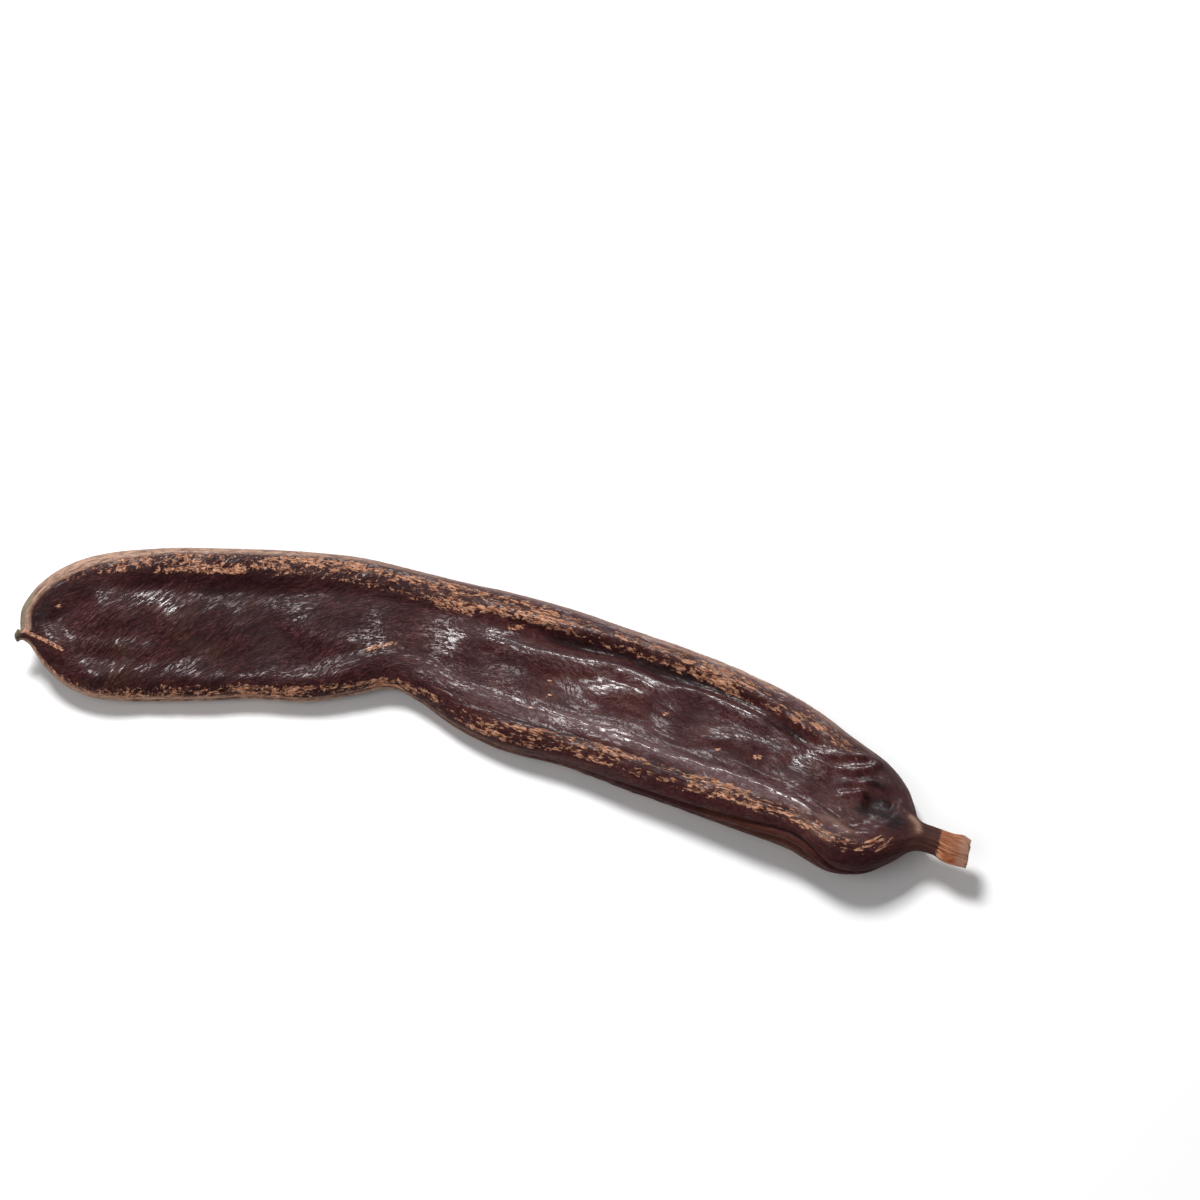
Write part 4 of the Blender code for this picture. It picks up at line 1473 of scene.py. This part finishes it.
@dataclass
class CarobPod:
    """The whole pod: one fine mesh over the solid's own form, with its marks and its skin."""

    form: PodForm
    fine: FineSkin
    marks: SkinMarks
    skin: PodSkin
    # The torn end's hollow and the style's rounded end: share of the end's radius, and millimetres
    # towards the tip.
    torn_end: tuple[Row, ...] = (
        (0.95, -0.10), (0.84, 0.0), (0.72, 0.25), (0.58, 0.60), (0.42, 0.90), (0.22, 1.05))
    torn_ragged: Ripple = Ripple(0.45, 1.3, 2.2)
    style_end: tuple[Row, ...] = ((0.6, 0.35), (0.3, 0.5))

    def outward(self, grid: PodGrid) -> Array:
        """Find the outward direction at each point.

        Args:
            grid: The pod's points.

        Returns:
            One unit vector for each point.
        """
        base = grid.base.reshape(grid.rings, grid.columns, 3)
        along = np.gradient(base, axis=0)
        round_way = np.roll(base, -1, axis=1) - np.roll(base, 1, axis=1)
        directions = np.cross(round_way, along).reshape(-1, 3)
        directions /= np.linalg.norm(directions, axis=1)[:, None]
        from_middle = (base - base.mean(axis=1, keepdims=True)).reshape(-1, 3)
        return directions * np.sign((directions * from_middle).sum())

    def cap(self, ring: Array, steps: tuple[Row, ...]) -> list[Array]:
        """Make smaller copies of an end ring that close the pod's end.

        Args:
            ring: The end ring.
            steps: For each copy, its share of the ring's radius and how far it goes towards the tip.

        Returns:
            The rings.
        """
        middle = ring.mean(axis=0)
        rings = []
        for share, depth in steps:
            smaller = middle + (ring - middle) * share
            smaller[:, 0] -= depth
            rings.append(smaller)
        return rings

    def faces(self, count: int, columns: int) -> list[list[int]]:
        """Join rings of points into quads, with a fan of triangles over each end.

        Args:
            count: The number of rings.
            columns: The number of points in a ring; both ends' middles follow the last ring.

        Returns:
            The numbers of each face's points.
        """
        ring, place = np.meshgrid(np.arange(count - 1), np.arange(columns), indexing="ij")
        here = (ring * columns + place).ravel()
        beside = (ring * columns + (place + 1) % columns).ravel()
        quads = np.stack((here, here + columns, beside + columns, beside), axis=1)
        number = np.arange(columns)
        following = (number + 1) % columns
        last = (count - 1) * columns
        style = np.full(columns, count * columns)
        style_fan = np.stack((number, following, style), axis=1)
        torn_fan = np.stack((last + following, last + number, style + 1), axis=1)
        return quads.tolist() + style_fan.tolist() + torn_fan.tolist()

    def unwrapped(self, count: int, columns: int) -> Array:
        """Unroll the faces flat, in the order that they are joined in.

        Args:
            count: The number of rings.
            columns: The number of points in a ring.

        Returns:
            The map's coordinates, from 0 to 1, corner by corner.
        """
        ring, place = np.meshgrid(np.arange(count - 1), np.arange(columns), indexing="ij")
        u = ring.ravel() / (count - 1)
        u_next = (ring.ravel() + 1) / (count - 1)
        v = place.ravel() / columns
        v_next = (place.ravel() + 1) / columns
        quads = np.stack((u, v, u_next, v, u_next, v_next, u, v_next), axis=1).ravel()
        edge = np.arange(columns) / columns
        edge_next = (np.arange(columns) + 1) / columns
        middle = (edge + edge_next) / 2
        zero = np.zeros(columns)
        one = np.ones(columns)
        style_fan = np.stack((zero, edge, zero, edge_next, zero, middle), axis=1).ravel()
        torn_fan = np.stack((one, edge_next, one, edge, one, middle), axis=1).ravel()
        return np.concatenate((quads, style_fan, torn_fan)).astype(np.float32)

    def mesh(self, rings: list[Array]) -> bpy.types.Mesh:
        """Join the rings into a closed mesh with its unwrapped map.

        Args:
            rings: Rings of points in metres, from the style to the torn end.

        Returns:
            The mesh.
        """
        count, columns = len(rings), len(rings[0])
        points = np.vstack(rings + [rings[0].mean(axis=0)[None], rings[-1].mean(axis=0)[None]])
        mesh = bpy.data.meshes.new("pod_skin_mesh")
        mesh.from_pydata(points.tolist(), [], self.faces(count, columns))
        layer = mesh.uv_layers.new(name=UV_NAME)
        layer.data.foreach_set("uv", self.unwrapped(count, columns))
        return mesh

    def spread(self, values: Array, grid: PodGrid) -> Array:
        """Carry the grid's values on to the points of both caps.

        Args:
            values: One value or vector for each of the grid's points.
            grid: The pod's points.

        Returns:
            The values of all the mesh's points.
        """
        rows = values.reshape(grid.rings, grid.columns, -1)
        first = np.repeat(rows[:1], len(self.style_end), axis=0)
        last = np.repeat(rows[-1:], len(self.torn_end), axis=0)
        body = np.concatenate((first, rows, last)).reshape(-1, rows.shape[2])
        return np.vstack((body, rows[0].mean(axis=0)[None], rows[-1].mean(axis=0)[None]))

    def note(self, mesh: bpy.types.Mesh, kind: str, values: dict[str, Array], grid: PodGrid) -> None:
        """Write values of every point into the mesh, where the skin reads them by name.

        Args:
            mesh: The pod's mesh.
            kind: The values' type.
            values: The values by name, one or one row for each of the grid's points.
            grid: The pod's points.
        """
        key = "vector" if kind == "FLOAT_VECTOR" else "value"
        for name, rows in values.items():
            layer = mesh.attributes.new(name, kind, "POINT")
            layer.data.foreach_set(key, self.spread(rows, grid).astype(np.float32).ravel())

    def build(self) -> bpy.types.Object:
        """Build the pod, with its masks as attributes and its skin as material.

        Returns:
            The pod's object.
        """
        grid = self.form.grid()
        body = self.form.body(grid)
        relief = self.form.relief(grid)
        masks = self.marks.paint(grid, relief)
        flow = self.marks.strokes_flow(grid)
        relief = relief + self.fine.relief(grid, flow, masks["flecks"], body)
        points = grid.base + self.outward(grid) * relief[:, None]
        rings = list(points.reshape(grid.rings, grid.columns, 3))
        rings[-1][:, 0] += uneven(rings[-1], self.torn_ragged)
        rings = self.cap(rings[0], self.style_end)[::-1] + rings + self.cap(rings[-1], self.torn_end)
        for ring in rings:
            ring[:, 2] = np.maximum(ring[:, 2], 0.0)
        mesh = self.mesh([(ring - np.array(PLAN_ORIGIN)) * MM for ring in rings])
        places = {"grown": grid.grown, "flow": flow, "cork_flow": self.marks.cork_flow(grid)}
        self.note(mesh, "FLOAT_VECTOR", places, grid)
        self.note(mesh, "FLOAT", masks, grid)
        mesh.materials.append(self.skin.build())
        mesh.shade_smooth()
        pod = bpy.data.objects.new("carob_pod", mesh)
        bpy.context.scene.collection.objects.link(pod)
        LOG.info("carob_pod: %d points, %d faces", len(mesh.vertices), len(mesh.polygons))
        return pod


@dataclass
class Studio:
    """The pale floor, the soft lights, the world and the camera."""

    floor_size: float = 6.0
    floor_colour: Colour = (0.86, 0.86, 0.86, 1.0)
    floor_roughness: float = 0.9
    floor_specular: float = 0.1
    world_colour: Colour = (1.0, 1.0, 1.0, 1.0)
    world_strength: float = 0.16
    boxes: tuple[SoftBox, ...] = (
        SoftBox("key_box", 226.0, 61.0, 0.95, (0.28, 0.28), 10.5, Reach.ALL),
        SoftBox("front_box", 330.0, 50.0, 1.20, (0.80, 0.80), 4.2, Reach.COLOUR),
        SoftBox("sheen_strip", 200.0, 29.0, 0.90, (0.80, 0.20), 18.0, Reach.GLOSS),
    )
    # The camera, fitted to the photograph: its aim in plan millimetres, turn, height and distance.
    aim: Row = (13.4, 28.5, 0.0)
    azimuth: float = 15.0
    elevation: float = 60.0
    distance: float = 548.0
    lens: float = 85.0
    sensor: float = 36.0
    clip_start: float = 0.01

    def direction(self, azimuth: float, elevation: float) -> Vector:
        """Find the direction from the pod to a place round it.

        Args:
            azimuth: Degrees round, from the side that the pod is seen from.
            elevation: Degrees above the floor.

        Returns:
            The unit vector.
        """
        turn = math.radians(azimuth)
        rise = math.radians(elevation)
        return Vector((math.sin(turn) * math.cos(rise), -math.cos(turn) * math.cos(rise), math.sin(rise)))

    def floor(self) -> bpy.types.Object:
        """Lay the plain floor.

        Returns:
            The floor.
        """
        half = self.floor_size / 2
        mesh = bpy.data.meshes.new("studio_floor_mesh")
        mesh.from_pydata([(-half, -half, 0.0), (half, -half, 0.0), (half, half, 0.0), (-half, half, 0.0)],
                         [], [(0, 1, 2, 3)])
        material = bpy.data.materials.new("floor_paint")
        material.use_nodes = True
        shader = material.node_tree.nodes["Principled BSDF"]
        shader.inputs["Base Color"].default_value = self.floor_colour
        shader.inputs["Roughness"].default_value = self.floor_roughness
        shader.inputs["Specular IOR Level"].default_value = self.floor_specular
        mesh.materials.append(material)
        floor = bpy.data.objects.new("studio_floor", mesh)
        bpy.context.scene.collection.objects.link(floor)
        return floor

    def lamp(self, box: SoftBox) -> bpy.types.Object:
        """Hang one soft box that points at the pod.

        Args:
            box: The box's place, size, power and reach.

        Returns:
            The lamp.
        """
        light = bpy.data.lights.new(box.name, "AREA")
        light.shape = "RECTANGLE"
        light.size, light.size_y = box.size
        light.energy = box.power
        lamp = bpy.data.objects.new(box.name, light)
        direction = self.direction(box.azimuth, box.elevation)
        lamp.location = direction * box.distance
        lamp.rotation_euler = direction.to_track_quat("Z", "Y").to_euler()
        lamp.visible_diffuse = box.reach is not Reach.GLOSS
        lamp.visible_glossy = box.reach is not Reach.COLOUR
        bpy.context.scene.collection.objects.link(lamp)
        return lamp

    def camera(self) -> bpy.types.Object:
        """Set the camera at the photograph's viewing angle.

        Returns:
            The camera.
        """
        data = bpy.data.cameras.new("photo_camera")
        data.lens = self.lens
        data.sensor_width = self.sensor
        data.clip_start = self.clip_start
        camera = bpy.data.objects.new("photo_camera", data)
        direction = self.direction(self.azimuth, self.elevation)
        aim = (Vector(self.aim) - Vector(PLAN_ORIGIN)) * MM
        camera.matrix_world = (Matrix.Translation(aim + direction * self.distance * MM)
                               @ direction.to_track_quat("Z", "Y").to_matrix().to_4x4())
        bpy.context.scene.collection.objects.link(camera)
        bpy.context.scene.camera = camera
        return camera

    def world(self) -> bpy.types.World:
        """Fill the room with even, dim light.

        Returns:
            The world.
        """
        world = bpy.data.worlds.new("studio_world")
        world.use_nodes = True
        background = world.node_tree.nodes["Background"]
        background.inputs["Color"].default_value = self.world_colour
        background.inputs["Strength"].default_value = self.world_strength
        bpy.context.scene.world = world
        return world

    def build(self) -> None:
        """Set up the whole studio."""
        self.camera()
        self.floor()
        for box in self.boxes:
            self.lamp(box)
        self.world()
        bpy.context.scene.view_settings.view_transform = "Standard"
        LOG.info("studio: floor, %d soft boxes, world and camera", len(self.boxes))


def main() -> None:
    """Build the studio and the pod in order."""
    logging.basicConfig(level=logging.INFO, format="%(name)s: %(message)s")
    Studio().build()
    pod = CarobPod(PodForm(), FineSkin(), SkinMarks(), PodSkin()).build()
    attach(pod, "root")
    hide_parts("pod")
    bpy.context.view_layer.update()


if __name__ == "__main__":
    main()
